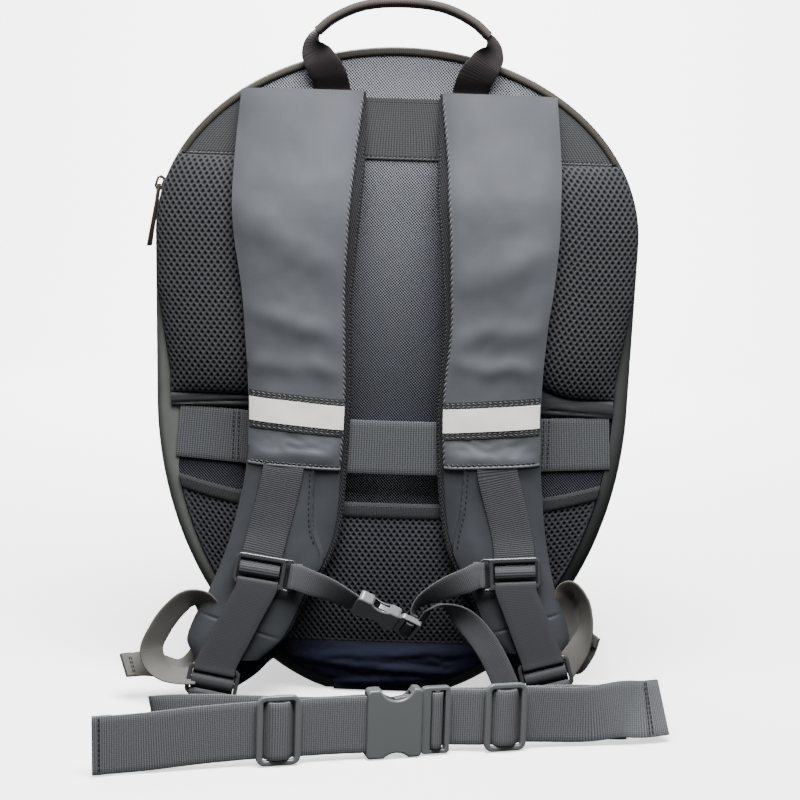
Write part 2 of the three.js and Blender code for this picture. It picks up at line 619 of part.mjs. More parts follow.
const LOWER_WEB = SHOULDER_WEB - 1.5;
const ringBarX = SHOULDER_WEB / 2 + 0.9 + FRAME.rail + FRAME.ring - RING_BAR / 2;
const HARDWARE = {
  left: { adjuster: seat(-88.5, 38.6, 95.5, 8, -8), lower: seat(-119, 47, 17.4, 10, -8), ringSide: 1 },
  right: { adjuster: seat(89.5, 38.4, 99, -4, -8), lower: seat(113, 47, 29.5, -16, -8), ringSide: -1 },
};

// A strap's way round the end of a bar, of half-length a and half-thickness b: over the front, then behind.
function roundBar(a, b) {
  const slant = LAYER * 0.71;
  return [
    [a, b + LAYER], [a + slant, b + slant], [a + LAYER, b * 0.5],
    [a + LAYER, -b * 0.5], [a + slant, -b - slant], [a, -b - LAYER],
  ];
}

// Webbing from the strap's hem, behind the adjuster's top bar, over its middle bar and back through.
const HEM_WEB = {
  left: table('z share', [[STRAP.hemZ - 1.5, -0.22], [140, -0.27], [122, -0.3]]),
  right: table('z share', [[STRAP.hemZ - 1.5, 0.12], [140, 0.26], [122, 0.32]]),
};
function shoulderWebbing(word) {
  const at = HARDWARE[word].adjuster;
  const across = alongSeat(at, 1, 0, 0);
  const free = HEM_WEB[word].map(({ z, share }) => ({
    at: strapPoint(word, share, z, coverRaise(share, z) + LAYER), across: V(1, 0, 0),
  }));
  const threaded = table('forward z', [
    [-overBar, barMiddle + 2], [-overBar, barMiddle - 1.7], [0, 4.6],
    [overMiddle, 1.8], [overMiddle, -1.6], [0.8, -3.4],
  ]).map((r) => ({ at: onSeat(at, 0, r.forward, r.z), across }));
  return ribbon([...free, ...threaded], SHOULDER_WEB, WEB, 2);
}

// The lower strap folds round the adjuster's bottom bar, and runs down round the lower buckle's top bar.
const LOWER_WAY = {
  left: table('x forward z', [[-98, 41.9, 66], [-105, 43.4, 47]]),
  right: table('x forward z', [[99, 41.9, 72], [106, 44, 54]]),
};
function lowerStrap(word) {
  const { adjuster, lower } = HARDWARE[word];
  const across = alongSeat(adjuster, 1, 0, 0);
  const lowAcross = alongSeat(lower, 1, 0, 0);
  const fold = roundBar(FRAME.bar / 2, FRAME.thick / 2);
  const upper = [[-3.6, -overBar], ...[...fold].reverse(), [-2.4, overBar]]
    .map(([s, forward]) => ({ at: onSeat(adjuster, 0, forward, -barMiddle + s), across }));
  const free = LOWER_WAY[word].map((r) => ({ at: V(r.x, inFront(r.forward), r.z), across }));
  const under = [[-2.4, overBar], ...fold, [-1, -overBar]]
    .map(([s, forward]) => ({ at: onSeat(lower, 0, forward, barMiddle - s), across: lowAcross }));
  return ribbon([...upper, ...free, ...under], LOWER_WEB, WEB, 1);
}

for (const [word] of SIDES) {
  const { adjuster, lower, ringSide } = HARDWARE[word];
  place(`adjuster_${word}`, slotFrame(SHOULDER_WEB, ringSide), 'plastic', adjuster);
  place(`lower_buckle_${word}`, slotFrame(LOWER_WEB, 0), 'plastic', lower);
  add(`strap_webbing_${word}`, shoulderWebbing(word), 'webbing');
  add(`lower_strap_${word}`, lowerStrap(word), 'webbing');
}

// Tabs sewn to the gusset's lip carry the lower buckles, and the straps' spare ends loop out behind them

const TAB = { width: 24, thick: 2.2, lipZ: 31 };
const TAB_FOOT = { left: 3.4, right: 13.5 };
function anchorTab(word, side) {
  const { lower } = HARDWARE[word];
  const onLip = (inset, forward) => V(side * halfAt(TAB.lipZ, inset), inFront(forward), TAB.lipZ);
  const tangent = V(side * 0.63, 0, 0.78);
  const outward = V(side * 0.78, 0, -0.63);
  const edge = onLip(1, GAP + TAB.thick / 2);
  const behind = -FRAME.thick / 2 - GAP - TAB.thick / 2 - 0.1;
  const lowAcross = alongSeat(lower, side, 0, 0);
  const rows = [
    { at: edge.clone().addScaledVector(outward, -6.5), across: tangent },
    { at: edge, across: tangent },
    { at: edge.clone().addScaledVector(outward, 7).add(V(0, -7, 0)), across: tangent },
    { at: onSeat(lower, 0, behind - 6, -barMiddle + 7), across: lowAcross },
    { at: onSeat(lower, 0, behind, -barMiddle), across: lowAcross },
    { at: onSeat(lower, 0, behind, -barMiddle - TAB_FOOT[word]), across: lowAcross },
  ];
  return ribbon(rows, TAB.width, TAB.thick, 2);
}

const TAIL_ROWS = {
  left: table('x forward z ax ay az', [
    [-133.6, 41.5, 15.5, 0, 0, 1], [-140, 39, 18.5, 0.1, 0, 1], [-148, 34, 26, 0.6, 0, 0.8],
    [-148, 27, 44, 1, 0, 0.3], [-141, 24, 64, 1, 0, 0], [-135, 28, 76, 1, 0, 0],
    [-147, 37, 71, 0.9, 0, -0.3], [-158, 42, 54, 0.9, 0, -0.4], [-164, 45, 37, 0.7, 0, -0.7],
    [-172, 47, 28, 0.15, 0, -1], [-184, 47, 26, 0, 0, -1],
  ]),
  right: table('x forward z ax ay az', [
    [127.6, 40.2, 28.4, 0, 0, 1], [132, 38, 33, -0.1, 0, 1], [138, 33, 41, -0.6, 0, 0.8],
    [139, 27, 58, -1, 0, 0.2], [135, 25, 76, -1, 0, 0], [135, 29, 88, -1, 0, 0],
    [142, 36, 84, -1, 0.2, -0.2], [146, 40, 68, -0.95, 0.3, -0.1], [147, 43, 52, -0.9, 0.3, -0.1],
    [149, 44, 38, -0.9, 0.3, -0.3],
  ]),
};
const routeOf = (rows) => rows.map((r) => ({
  at: V(r.x, inFront(r.forward), r.z), across: V(r.ax, r.ay, r.az),
}));
for (const [word, side] of SIDES) {
  add(`anchor_tab_${word}`, anchorTab(word, side), 'base');
  add(`strap_tail_${word}`, ribbon(routeOf(TAIL_ROWS[word]), TAIL_WEB, WEB, 2), 'webbing');
}

// Side-release buckles: a socket with a tunnel and thumb notches, and a plug with prongs and a webbing frame.
// Drawn in X and Z about the joint between them, with the socket to the left.

const BIG_BUCKLE = {
  socket: 37, plug: 19.5, height: 46, thick: 10.4, tunnel: 6.6, web: BELT_WEB,
  notch: 11, notchDepth: 6.5, notchX: -17,
};
const SMALL_BUCKLE = {
  socket: 32, plug: 16, height: 24.5, thick: 8.6, tunnel: 5.8, web: STERNUM_WEB,
  notch: 9, notchDepth: 3.6, notchX: -15,
};
const socketBar = (b) => ({ x: -b.socket * 0.79, half: b.socket * 0.05, thin: b.tunnel * 0.136 });
function plugBar(b) {
  const [edge, slot, bar] = [b.plug * 0.2, b.plug * 0.22, b.plug * 0.16];
  const first = GAP + edge;
  const end = first + slot * 2 + bar;
  return { first, slot, half: bar / 2, x: first + slot + bar / 2, thin: b.thick * 0.25, end };
}

function buckleSocket(b) {
  const bar = socketBar(b);
  const outline = roundedRect(new THREE.Shape(), -b.socket, -b.height / 2, 0, b.height / 2, 3);
  const body = plate(outline, b.thick, b.thick / 2);
  const tunnel = box(b.socket * 2, b.tunnel, b.web + 2, -b.socket / 2, 0, 0);
  const notches = [-1, 1].map((end) => new THREE.CylinderGeometry(b.notch, b.notch, b.thick * 2, 14)
    .translate(b.notchX, 0, end * (b.height / 2 + b.notch - b.notchDepth)));
  return joined(cut(body, tunnel, ...notches), box(bar.half * 2, bar.thin * 2, b.web + 3, bar.x, 0, 0));
}

const PRONG = [[1, 0.55], [-0.42, 0.62], [-0.5, 0.86], [-0.28, 0.93], [0.1, 0.86], [1, 0.84]];
function bucklePlug(b) {
  const bar = plugBar(b);
  const frame = roundedRect(new THREE.Shape(), GAP, -b.height / 2 + 0.6, b.plug, b.height / 2 - 0.6, 2.5);
  const slotHalf = b.web / 2 + 0.8;
  const hole = (left) => roundedRect(new THREE.Path(), left, -slotHalf, left + bar.slot, slotHalf, 0.6);
  frame.holes.push(hole(bar.first), hole(bar.x + bar.half));
  const thick = b.tunnel - 1.6;
  const prongs = [-1, 1].map((end) => {
    const outline = PRONG.map(([along, out]) => {
      const x = along < 0 ? along * b.socket : along + GAP;
      return new THREE.Vector2(x, (end * out * b.web) / 2);
    });
    return plate(new THREE.Shape(outline), thick, thick / 2);
  });
  const guide = box(b.socket * 0.45, thick, b.web * 0.16, 1 - b.socket * 0.225, 0, 0);
  return joined(plate(frame, bar.thin * 2, bar.thin), guide, ...prongs);
}

// A seat at the joint of a buckle whose middle has its own seat.
function jointSeat(middle, b) {
  return middle.clone().multiply(new THREE.Matrix4().makeTranslation((b.socket - b.plug) / 2, 0, 0));
}

// A strap's way into the socket: in along the front, round the bar, and out along the back.
function intoSocket(joint, b, reach) {
  const { x, half, thin } = socketBar(b);
  const across = alongSeat(joint, 0, 0, 1);
  const way = [[-2, thin + LAYER], ...roundBar(half, thin), [-reach, -thin - LAYER]];
  return way.map(([s, forward]) => ({ at: onSeat(joint, x + s, forward, 0), across }));
}

// A strap's way into the plug: behind its end bar, out in front of its middle bar, and round that bar.
function intoPlug(joint, b, tail) {
  const { x, half, thin, end, slot } = plugBar(b);
  const across = alongSeat(joint, 0, 0, 1);
  const deep = thin + LAYER;
  const way = [
    [b.plug + 0.6, -deep], [end + 0.5, -deep], [end - slot * 0.35, -thin], [end - slot / 2, 0],
    [end - slot * 0.65, thin], [x + half - 0.2, deep],
    ...roundBar(half, thin).map(([s, forward]) => [x - s, forward]), ...tail,
  ];
  return way.map(([along, forward]) => ({ at: onSeat(joint, along, forward, 0), across }));
}

// The sternum strap: from ring to buckle on the left, a slack arch on the right, and a loose spare end

const sternumJoint = jointSeat(seat(1, 44, 68, 22.8, 0), SMALL_BUCKLE);
place('sternum_socket', buckleSocket(SMALL_BUCKLE), 'plastic', sternumJoint);
place('sternum_plug', bucklePlug(SMALL_BUCKLE), 'plastic', sternumJoint);

function roundRing(word) {
  const { adjuster, ringSide } = HARDWARE[word];
  const way = [[-5, -overBar], ...roundBar(RING_BAR / 2, FRAME.thick / 2).reverse(), [-2, overBar]];
  const across = alongSeat(adjuster, 0, 0, 1);
  return way.map(([s, forward]) => ({ at: onSeat(adjuster, ringSide * (ringBarX - s), forward, 0), across }));
}

const STERNUM_WAY = {
  left: table('x forward z ax ay az', [[-53, 43.4, 88.6, 0.2, 0, 1], [-40, 44.8, 84.2, 0.3, 0, 1]]),
  right: table('x forward z ax ay az', [
    [55, 42.6, 94.3, 0, 0, 1], [45, 43, 90, 0, 0.2, 1], [39, 42.6, 81.5, 0.1, 0.45, 0.85],
    [38, 41, 69, 0.3, 0.45, 0.8], [33, 40.6, 58.5, 0.39, 0.1, 0.9],
  ]),
};
const SOCKET_TURN_IN = 3;
const sternumLeft = [
  ...roundRing('left'), ...routeOf(STERNUM_WAY.left),
  ...intoSocket(sternumJoint, SMALL_BUCKLE, SOCKET_TURN_IN),
];
add('sternum_webbing_left', ribbon(sternumLeft, STERNUM_WEB, WEB, 1), 'webbing');
const sternumRight = [
  ...roundRing('right'), ...routeOf(STERNUM_WAY.right), ...intoPlug(sternumJoint, SMALL_BUCKLE, []),
];
add('sternum_webbing_right', ribbon(sternumRight, STERNUM_WEB, WEB, 1), 'webbing');

const STERNUM_TAIL = table('x forward z ax ay az', [
  [29, 49.6, 60, 0.4, 0, 0.9], [37, 51.4, 66, 0.5, -0.2, 0.8], [46, 53, 68.5, 0.75, 0, 0.65],
  [56, 54, 63, 0.83, 0.1, 0.55], [66, 55, 52, 0.85, 0, 0.5], [77, 55.5, 36, 0.85, 0, 0.5],
  [86, 56, 22, 0.85, 0, 0.5],
]);
const tailForward = SMALL_BUCKLE.thick * 0.25 + LAYER * 2 + WEB / 2;
const tailStart = [9, 13].map((x) => ({
  at: onSeat(sternumJoint, x, tailForward, 0), across: alongSeat(sternumJoint, 0, 0, 1),
}));
add('sternum_tail', ribbon([...tailStart, ...routeOf(STERNUM_TAIL)], STERNUM_WEB, WEB, 2), 'webbing');

// The waist belt stands on its edge on the floor in front of the pack

const beltSeat = seat(BELT.x, BELT.forward, BELT.z, 0, 0)
  .multiply(new THREE.Matrix4().makeRotationZ(THREE.MathUtils.degToRad(BELT.turnDeg)));
const beltJoint = jointSeat(beltSeat, BIG_BUCKLE);
place('belt_socket', buckleSocket(BIG_BUCKLE), 'plastic', beltJoint);
place('belt_plug', bucklePlug(BIG_BUCKLE), 'plastic', beltJoint);

const SLIDER = {
  width: 29, height: 46, thick: 3.5, rail: 3.4, slot: 7, shave: 0.55, forward: 3.5, leftX: -86, rightX: 66,
};
const sliderBar = SLIDER.width / 2 - SLIDER.rail - SLIDER.slot;
function beltSlider() {
  const [halfWidth, halfHeight, slotHalf] = [SLIDER.width / 2, SLIDER.height / 2, BELT_WEB / 2 + 0.8];
  const shape = roundedRect(new THREE.Shape(), -halfWidth, -halfHeight, halfWidth, halfHeight, 4);
  for (const end of [-1, 1]) {
    const [near, far] = [end * sliderBar, end * (sliderBar + SLIDER.slot)].sort((a, b) => a - b);
    shape.holes.push(roundedRect(new THREE.Path(), near, -slotHalf, far, slotHalf, 1));
  }
  const trim = box(sliderBar * 2 + 0.4, 2, BELT_WEB + 1.4, 0, SLIDER.shave - SLIDER.thick / 2 - 1, 0);
  return cut(plate(shape, SLIDER.thick, SLIDER.thick / 2), trim);
}
for (const [word, x] of [['left', SLIDER.leftX], ['right', SLIDER.rightX]]) {
  const shift = new THREE.Matrix4().makeTranslation(x, -SLIDER.forward, 0);
  place(`belt_slider_${word}`, beltSlider(), 'plastic', beltSeat.clone().multiply(shift));
}

// Belt webbing in the belt's own plane: the spare end, the slider, round the buckle's bar, and back.
const behindRail = SLIDER.forward - SLIDER.thick / 2 - LAYER;
const overSlider = SLIDER.forward + SLIDER.thick / 2 - SLIDER.shave + LAYER;
const BACK_LAYER = behindRail - WEB - 1.4;
const BELT_TURN_IN = 12;
const inBelt = (rows) => rows.map(([x, forward, z]) => ({
  at: onSeat(beltSeat, x, forward, z), across: V(0, 0, 1),
}));

function throughSlider(x, towards) {
  const rail = SLIDER.width / 2;
  const inner = rail - SLIDER.rail;
  const way = [
    [-rail - 2, behindRail], [-inner + 0.2, behindRail], [-sliderBar - 0.3, overSlider],
    [sliderBar + 0.3, overSlider], [inner - 0.2, behindRail], [rail + 2, behindRail],
  ];
  return way.map(([s, forward]) => [x + towards * s, forward, 0]);
}

const beltLeft = [
  ...inBelt([
    [-203, 2, -3.6], [-170, 1, -3], [-135, behindRail, -1],
    ...throughSlider(SLIDER.leftX, 1), [-52, behindRail, 0],
  ]),
  ...intoSocket(beltJoint, BIG_BUCKLE, BELT_TURN_IN),
  ...inBelt([
    [-62, BACK_LAYER, 0], [-100, BACK_LAYER, 0], [-140, BACK_LAYER - 0.6, -2],
    [-158, BACK_LAYER - 2.5, -3], [-166, -9, -3], [-164, -20, -3.2],
  ]),
  ...routeOf(table('x forward z ax ay az', [
    [-142, 148, 18.6, 0.5, 0, 0.87], [-138, 130, 12.6, 0.85, -0.1, 0.5], [-132, 108, 4.6, 0.97, -0.2, 0.15],
    [-124, 82, 1.5, 0.97, -0.25, 0], [-120, 60, 1.3, 1, -0.1, 0], [-118, 40, 1.3, 1, -0.1, 0],
  ])),
];
add('belt_left', ribbon(beltLeft, BELT_WEB, WEB, 1), 'webbing');

const beltBar = plugBar(BIG_BUCKLE);
const plugReturn = [[beltBar.x + 1.6, -5], [beltBar.end - 2, -5.9], [BIG_BUCKLE.plug + 1, -5.9]];
const beltRight = [
  ...inBelt([
    [180, 4, -3.4], [150, 3, -2], [112, behindRail, 0], ...throughSlider(SLIDER.rightX, -1), [42, -1, 0],
  ]),
  ...intoPlug(beltJoint, BIG_BUCKLE, plugReturn),
  ...inBelt([
    [48, BACK_LAYER - 1.4, 0], [66, BACK_LAYER, 0], [110, BACK_LAYER, 0], [140, BACK_LAYER - 1, -2],
    [155, BACK_LAYER - 3.5, -3], [161, -11, -3.2], [158, -22, -3.4],
  ]),
  ...routeOf(table('x forward z ax ay az', [
    [157, 69, 18.6, 0.3, 0.4, 0.87], [151, 63, 12.8, 0.45, 0.75, 0.45], [143, 57, 5.4, 0.5, 0.85, 0.15],
    [132, 51, 2.3, 0.5, 0.85, 0], [120, 43, 2.2, 0.5, 0.85, 0],
  ])),
];
add('belt_right', ribbon(beltRight, BELT_WEB, WEB, 1), 'webbing');

// The zip's slider on the left side, and its puller, which swings on the slider's bridge about Y

const PULL = {
  z: 358, pivotOut: 5.8, pivotUp: -1.9, tiltDeg: 7.5,
  length: 43.5, width: 8, thick: 1.8, shoulder: 12, window: 4.6, windowLength: 7.5, wall: 0.9,
};
const SLIDER_BODY = { under: 1.7, top: 3.4, length: 9, width: 8.6 };
const BRIDGE = { half: 5.5, hole: 3.2, low: 4.2, high: 7.4, top: 8.8, width: 3 };

const pullAngle = Math.asin((PULL.z - CROWN.centreZ) / CROWN.rise);
const pullOut = V(-Math.cos(pullAngle) / CROWN.half, 0, Math.sin(pullAngle) / CROWN.rise).normalize();
const pullUp = V(pullOut.z, 0, -pullOut.x);
const pullSpot = V(-CROWN.half * Math.cos(pullAngle), zipMidY, PULL.z);

// Drawn with outwards along X and up the zip along Z, then turned onto the side of the pack.
function zipSlider() {
  const body = box(SLIDER_BODY.top - SLIDER_BODY.under, SLIDER_BODY.width, SLIDER_BODY.length,
    (SLIDER_BODY.top + SLIDER_BODY.under) / 2, 0, 0);
  const b = BRIDGE;
  const arch = shapeOf(table('x z', [
    [3, -b.half + 1], [6.6, -b.half], [b.top, -b.hole], [b.top, b.hole], [6.6, b.half], [3, b.half - 1],
  ]));
  arch.holes.push(roundedRect(new THREE.Path(), b.low, -b.hole, b.high, b.hole, 0.6));
  const basis = new THREE.Matrix4().makeBasis(pullOut, V(0, -1, 0), pullUp).setPosition(pullSpot);
  return joined(body, plate(arch, b.width, b.width / 2)).applyMatrix4(basis);
}

function zipPuller() {
  const half = PULL.width / 2;
  const foot = -PULL.length;
  const shape = shapeOf(table('x z', [
    [-half, PULL.wall], [-half, -PULL.shoulder], [-half + 0.8, foot + 2], [-half + 2, foot],
    [half - 2, foot], [half - 0.8, foot + 2], [half, -PULL.shoulder], [half, PULL.wall],
  ]));
  const eye = PULL.window / 2;
  shape.holes.push(roundedRect(new THREE.Path(), -eye, -PULL.windowLength, eye, -PULL.wall, 0.5));
  const pivot = pullSpot.clone().addScaledVector(pullOut, PULL.pivotOut);
  pivot.addScaledVector(pullUp, PULL.pivotUp);
  return plate(shape, PULL.thick, PULL.thick / 2).rotateZ(Math.PI / 2)
    .rotateY(THREE.MathUtils.degToRad(PULL.tiltDeg)).translate(pivot.x, pivot.y, pivot.z);
}
add('zip_slider', zipSlider(), 'puller');
add('zip_puller', zipPuller(), 'puller');

export default pack;
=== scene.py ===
# Hard-shell motorcycle backpack with its harness side to the viewer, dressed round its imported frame.
import json
import math
import bpy
import bmesh
from mathutils import Matrix, Vector, noise

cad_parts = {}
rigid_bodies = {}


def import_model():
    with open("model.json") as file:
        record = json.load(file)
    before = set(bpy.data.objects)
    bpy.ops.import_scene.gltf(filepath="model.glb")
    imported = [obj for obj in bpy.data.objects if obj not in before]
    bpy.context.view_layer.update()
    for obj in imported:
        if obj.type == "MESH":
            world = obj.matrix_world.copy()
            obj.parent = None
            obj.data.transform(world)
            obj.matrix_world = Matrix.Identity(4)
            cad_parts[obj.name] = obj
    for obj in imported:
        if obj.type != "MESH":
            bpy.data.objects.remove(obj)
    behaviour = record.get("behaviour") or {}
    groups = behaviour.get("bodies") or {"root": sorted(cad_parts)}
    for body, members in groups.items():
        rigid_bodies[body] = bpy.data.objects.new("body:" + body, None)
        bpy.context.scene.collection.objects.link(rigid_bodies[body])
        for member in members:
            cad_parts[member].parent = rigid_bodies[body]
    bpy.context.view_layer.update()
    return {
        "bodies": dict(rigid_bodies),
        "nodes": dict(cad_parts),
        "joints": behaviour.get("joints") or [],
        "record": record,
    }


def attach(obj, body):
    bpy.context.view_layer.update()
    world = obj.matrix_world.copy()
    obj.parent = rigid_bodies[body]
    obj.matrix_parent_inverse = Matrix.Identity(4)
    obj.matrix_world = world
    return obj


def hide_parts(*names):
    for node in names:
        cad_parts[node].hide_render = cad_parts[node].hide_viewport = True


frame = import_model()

# The studio: a pale floor that sweeps up behind the pack, one large soft light overhead in front, weaker
# ones at the sides and behind, a wash on the wall, and the camera, tilted down and rolled a little.
# Tables in this file are in millimetres, as a pattern maker writes them, and MM turns them into metres.
MM = 0.001
FLOOR_SIZE = 9.0
FLOOR_FAR_Y = 3.6
WALL_HEIGHT = 4.0
SWEEP_RADIUS = 1.8
SURROUND_RADIUS = 4.3
SURROUND_Y = -0.9
SURROUND_SINK = 0.01
WORLD_STRENGTH = 0.13
CAMERA_PLACE = Vector((5.6, -1342, 402)) * MM
CAMERA_DOWN_DEG = 8.27
CAMERA_ROLL_DEG = 1.8
FOCAL_PIXELS = 1857
IMAGE_PIXELS = 800
SENSOR_MM = 36


def hex_colour(text):
    """Linear colour of an sRGB hex value."""
    parts = [int(text[i:i + 2], 16) / 255 for i in (1, 3, 5)]
    linear = [p / 12.92 if p <= 0.04045 else ((p + 0.055) / 1.055) ** 2.4 for p in parts]
    return (*linear, 1.0)


def add_node(tree, kind, inputs, **settings):
    """Adds a shader node with its settings, and links or sets its inputs."""
    node = tree.nodes.new("ShaderNode" + kind)
    for name, value in settings.items():
        setattr(node, name, value)
    for name, value in inputs.items():
        if isinstance(value, bpy.types.NodeSocket):
            tree.links.new(value, node.inputs[name])
        else:
            node.inputs[name].default_value = value
    return node


def new_material(name, sockets):
    """A material whose constant values sit on the shader's own sockets."""
    material = bpy.data.materials.new(name)
    material.use_nodes = True
    shader = material.node_tree.nodes["Principled BSDF"]
    for socket, value in sockets.items():
        shader.inputs[socket].default_value = hex_colour(value) if isinstance(value, str) else value
    return material, material.node_tree, shader


bpy.ops.object.select_all(action="DESELECT")
bpy.ops.mesh.primitive_plane_add(size=FLOOR_SIZE, location=(0, FLOOR_FAR_Y - FLOOR_SIZE / 2, 0))
floor = bpy.context.object
floor.name = "studio_floor"
bpy.ops.object.transform_apply(location=True, rotation=True, scale=True)
bpy.ops.object.mode_set(mode="EDIT")
shape = bmesh.from_edit_mesh(floor.data)
far_y = max(v.co.y for v in shape.verts)
bpy.ops.mesh.select_mode(type="EDGE")
bpy.ops.mesh.select_all(action="DESELECT")
for edge in shape.edges:
    edge.select_set(all(v.co.y > far_y - MM for v in edge.verts))
bmesh.update_edit_mesh(floor.data)
bpy.ops.mesh.extrude_region_move(TRANSFORM_OT_translate={"value": (0, 0, WALL_HEIGHT)})
shape = bmesh.from_edit_mesh(floor.data)
for edge in shape.edges:
    edge.select_set(all(v.co.y > far_y - MM and v.co.z < MM for v in edge.verts))
bmesh.update_edit_mesh(floor.data)
bpy.ops.mesh.bevel(offset=SWEEP_RADIUS, segments=24)
bpy.ops.object.mode_set(mode="OBJECT")
bpy.ops.object.shade_smooth()
# Paper from a roll: matt white, and it gives off some light, so that it stays even in the picture.
PAPER = {"Base Color": "#fdfdfc", "Roughness": 0.9, "Emission Color": "#ffffff", "Emission Strength": 1.1}
paper = new_material("matt paper roll", PAPER)[0]
floor.data.materials.append(paper)
floor.visible_diffuse = False
floor.visible_glossy = False
bpy.ops.object.select_all(action="DESELECT")
bpy.ops.mesh.primitive_cylinder_add(vertices=96, radius=SURROUND_RADIUS, depth=WALL_HEIGHT,
                                    end_fill_type="NOTHING",
                                    location=(0, SURROUND_Y, WALL_HEIGHT / 2 - SURROUND_SINK))
surround = bpy.context.object
surround.name = "studio_surround"
bpy.ops.object.transform_apply(location=True, rotation=True, scale=True)
bpy.ops.object.shade_smooth()
surround.data.materials.append(paper)
surround.visible_diffuse = False
surround.visible_glossy = False
surround.visible_shadow = False

# Each light: place, size, power in watts, and the point of the pack that it faces.
LIGHTS = {
    "overhead_softbox": ((0.04, -0.46, 1.12), 0.8, 54, (0, -0.05, 0.25)),
    "left_fill": ((-1.6, -1.2, 0.9), 1.0, 4, (0, 0, 0.2)),
    "right_fill": ((1.6, -1.2, 0.9), 1.0, 4, (0, 0, 0.2)),
    "back_softbox": ((-0.5, 1.1, 1.5), 1.0, 30, (0, 0.05, 0.2)),
    "wall_wash": ((0, 1.4, 2.2), 1.6, 320, (0, 3.6, 0.5)),
}
for name, (place, size, power, target) in LIGHTS.items():
    data = bpy.data.lights.new(name, "AREA")
    data.shape = "DISK"
    data.size = size
    data.energy = power
    lamp = bpy.data.objects.new(name, data)
    lamp.location = place
    lamp.rotation_euler = (Vector(target) - Vector(place)).to_track_quat("-Z", "Y").to_euler()
    bpy.context.scene.collection.objects.link(lamp)
world = bpy.data.worlds.new("studio_white")
world.use_nodes = True
world.node_tree.nodes["Background"].inputs["Color"].default_value = hex_colour("#f4f6fa")
world.node_tree.nodes["Background"].inputs["Strength"].default_value = WORLD_STRENGTH
bpy.context.scene.world = world

camera = bpy.data.objects.new("camera", bpy.data.cameras.new("camera"))
camera.data.sensor_width = SENSOR_MM
camera.data.lens = SENSOR_MM * FOCAL_PIXELS / IMAGE_PIXELS
tilt = Matrix.Rotation(math.radians(90 - CAMERA_DOWN_DEG), 4, "X")
roll = Matrix.Rotation(math.radians(CAMERA_ROLL_DEG), 4, "Z")
camera.matrix_world = Matrix.Translation(CAMERA_PLACE) @ tilt @ roll
bpy.context.scene.collection.objects.link(camera)
bpy.context.scene.camera = camera

# The moulded shell: one deep ABS cup with a flat base, vacuum formed over a mould, so its corners are
# round and its skin has a fine leather grain. A bead stiffens its rim where the zip is sewn on.
CROWN = {"centre_z": 328, "half": 169, "rise": 130}
BELLY = {"centre_z": 215, "half": 166.5, "drop": 222}
SHELL_CENTRE_Z = 235
SHELL_WALL = 3
SHELL_RIM_Y = -4
RIM_BEAD = {"height": 0.9, "depth": 7}
GROOVE = {"y": 30, "half": 2.2, "depth": 1.3, "low": 14, "high": 30}
SHELL_ROWS = [(-4, 1, 1), (45, 1, 1), (73, 0.965, 1), (96, 0.89, 0.955), (113, 0.77, 0.86), (122, 0.6, 0.68)]
STEPS_PER_ROW = 6
FRONT_CAP = (0.93, 0.8, 0.55, 0.25)


def make_outline(belly_steps=26, side_steps=8, crown_steps=30, base_steps=5):
    """Points of the back's outline, anticlockwise from the middle of the base, with outward normals."""
    low_angle = math.asin(BELLY["centre_z"] / BELLY["drop"])
    flat_half = BELLY["half"] * math.cos(low_angle)
    half = [(flat_half * i / base_steps, 0.0) for i in range(base_steps)]
    for i in range(belly_steps + 1):
        angle = -low_angle * (1 - i / belly_steps)
        half.append((BELLY["half"] * math.cos(angle), BELLY["centre_z"] + BELLY["drop"] * math.sin(angle)))
    for i in range(1, side_steps):
        share = i / side_steps
        x = BELLY["half"] + (CROWN["half"] - BELLY["half"]) * share
        half.append((x, BELLY["centre_z"] + (CROWN["centre_z"] - BELLY["centre_z"]) * share))
    for i in range(crown_steps + 1):
        angle = math.pi / 2 * i / crown_steps
        half.append((CROWN["half"] * math.cos(angle), CROWN["centre_z"] + CROWN["rise"] * math.sin(angle)))
    points = half + [(-x, z) for x, z in half[1:-1][::-1]]
    rows = []
    for i, (x, z) in enumerate(points):
        (ax, az), (bx, bz) = points[i - 1], points[(i + 1) % len(points)]
        length = math.hypot(bx - ax, bz - az)
        rows.append((x, z, (bz - az) / length, -(bx - ax) / length))
    return rows


OUTLINE = make_outline()


def skin(name, rows, wrap=False, loop=False, caps=False, across=None):
    """A mesh through rows of points in millimetres. Rows may wrap round, and the whole may close in a loop.
    Its UV map is in metres: across the first row, and along the middle of the rows."""
    size = len(rows[0])
    middle = size // 2
    if across is None:
        first = rows[len(rows) // 2]
        across = [0.0]
        for i in range(1, size + 1):
            across.append(across[-1] + (first[i % size] - first[i - 1]).length)
    along = [0.0]
    for s in range(1, len(rows) + 1):
        along.append(along[-1] + (rows[s % len(rows)][middle] - rows[s - 1][middle]).length)
    faces, corners = [], []
    for s in range(len(rows) if loop else len(rows) - 1):
        t = (s + 1) % len(rows)
        for i in range(size if wrap else size - 1):
            j = (i + 1) % size
            faces.append((s * size + i, s * size + j, t * size + j, t * size + i))
            corners += [(across[i], along[s]), (across[i + 1], along[s])]
            corners += [(across[i + 1], along[s + 1]), (across[i], along[s + 1])]
    if caps:
        last = (len(rows) - 1) * size
        faces.append(tuple(range(size))[::-1])
        corners += [(across[i], along[0]) for i in range(size)][::-1]
        faces.append(tuple(last + i for i in range(size)))
        corners += [(across[i], along[-2]) for i in range(size)]
    mesh = bpy.data.meshes.new(name)
    mesh.from_pydata([p * MM for row in rows for p in row], [], faces)
    layer = mesh.uv_layers.new(name="UVMap")
    layer.data.foreach_set("uv", [c * MM for corner in corners for c in corner])
    piece = bpy.data.objects.new(name, mesh)
    bpy.context.scene.collection.objects.link(piece)
    return piece


def pick(piece):
    """Makes one piece the only selected and active object."""
    bpy.ops.object.select_all(action="DESELECT")
    piece.select_set(True)
    bpy.context.view_layer.objects.active = piece


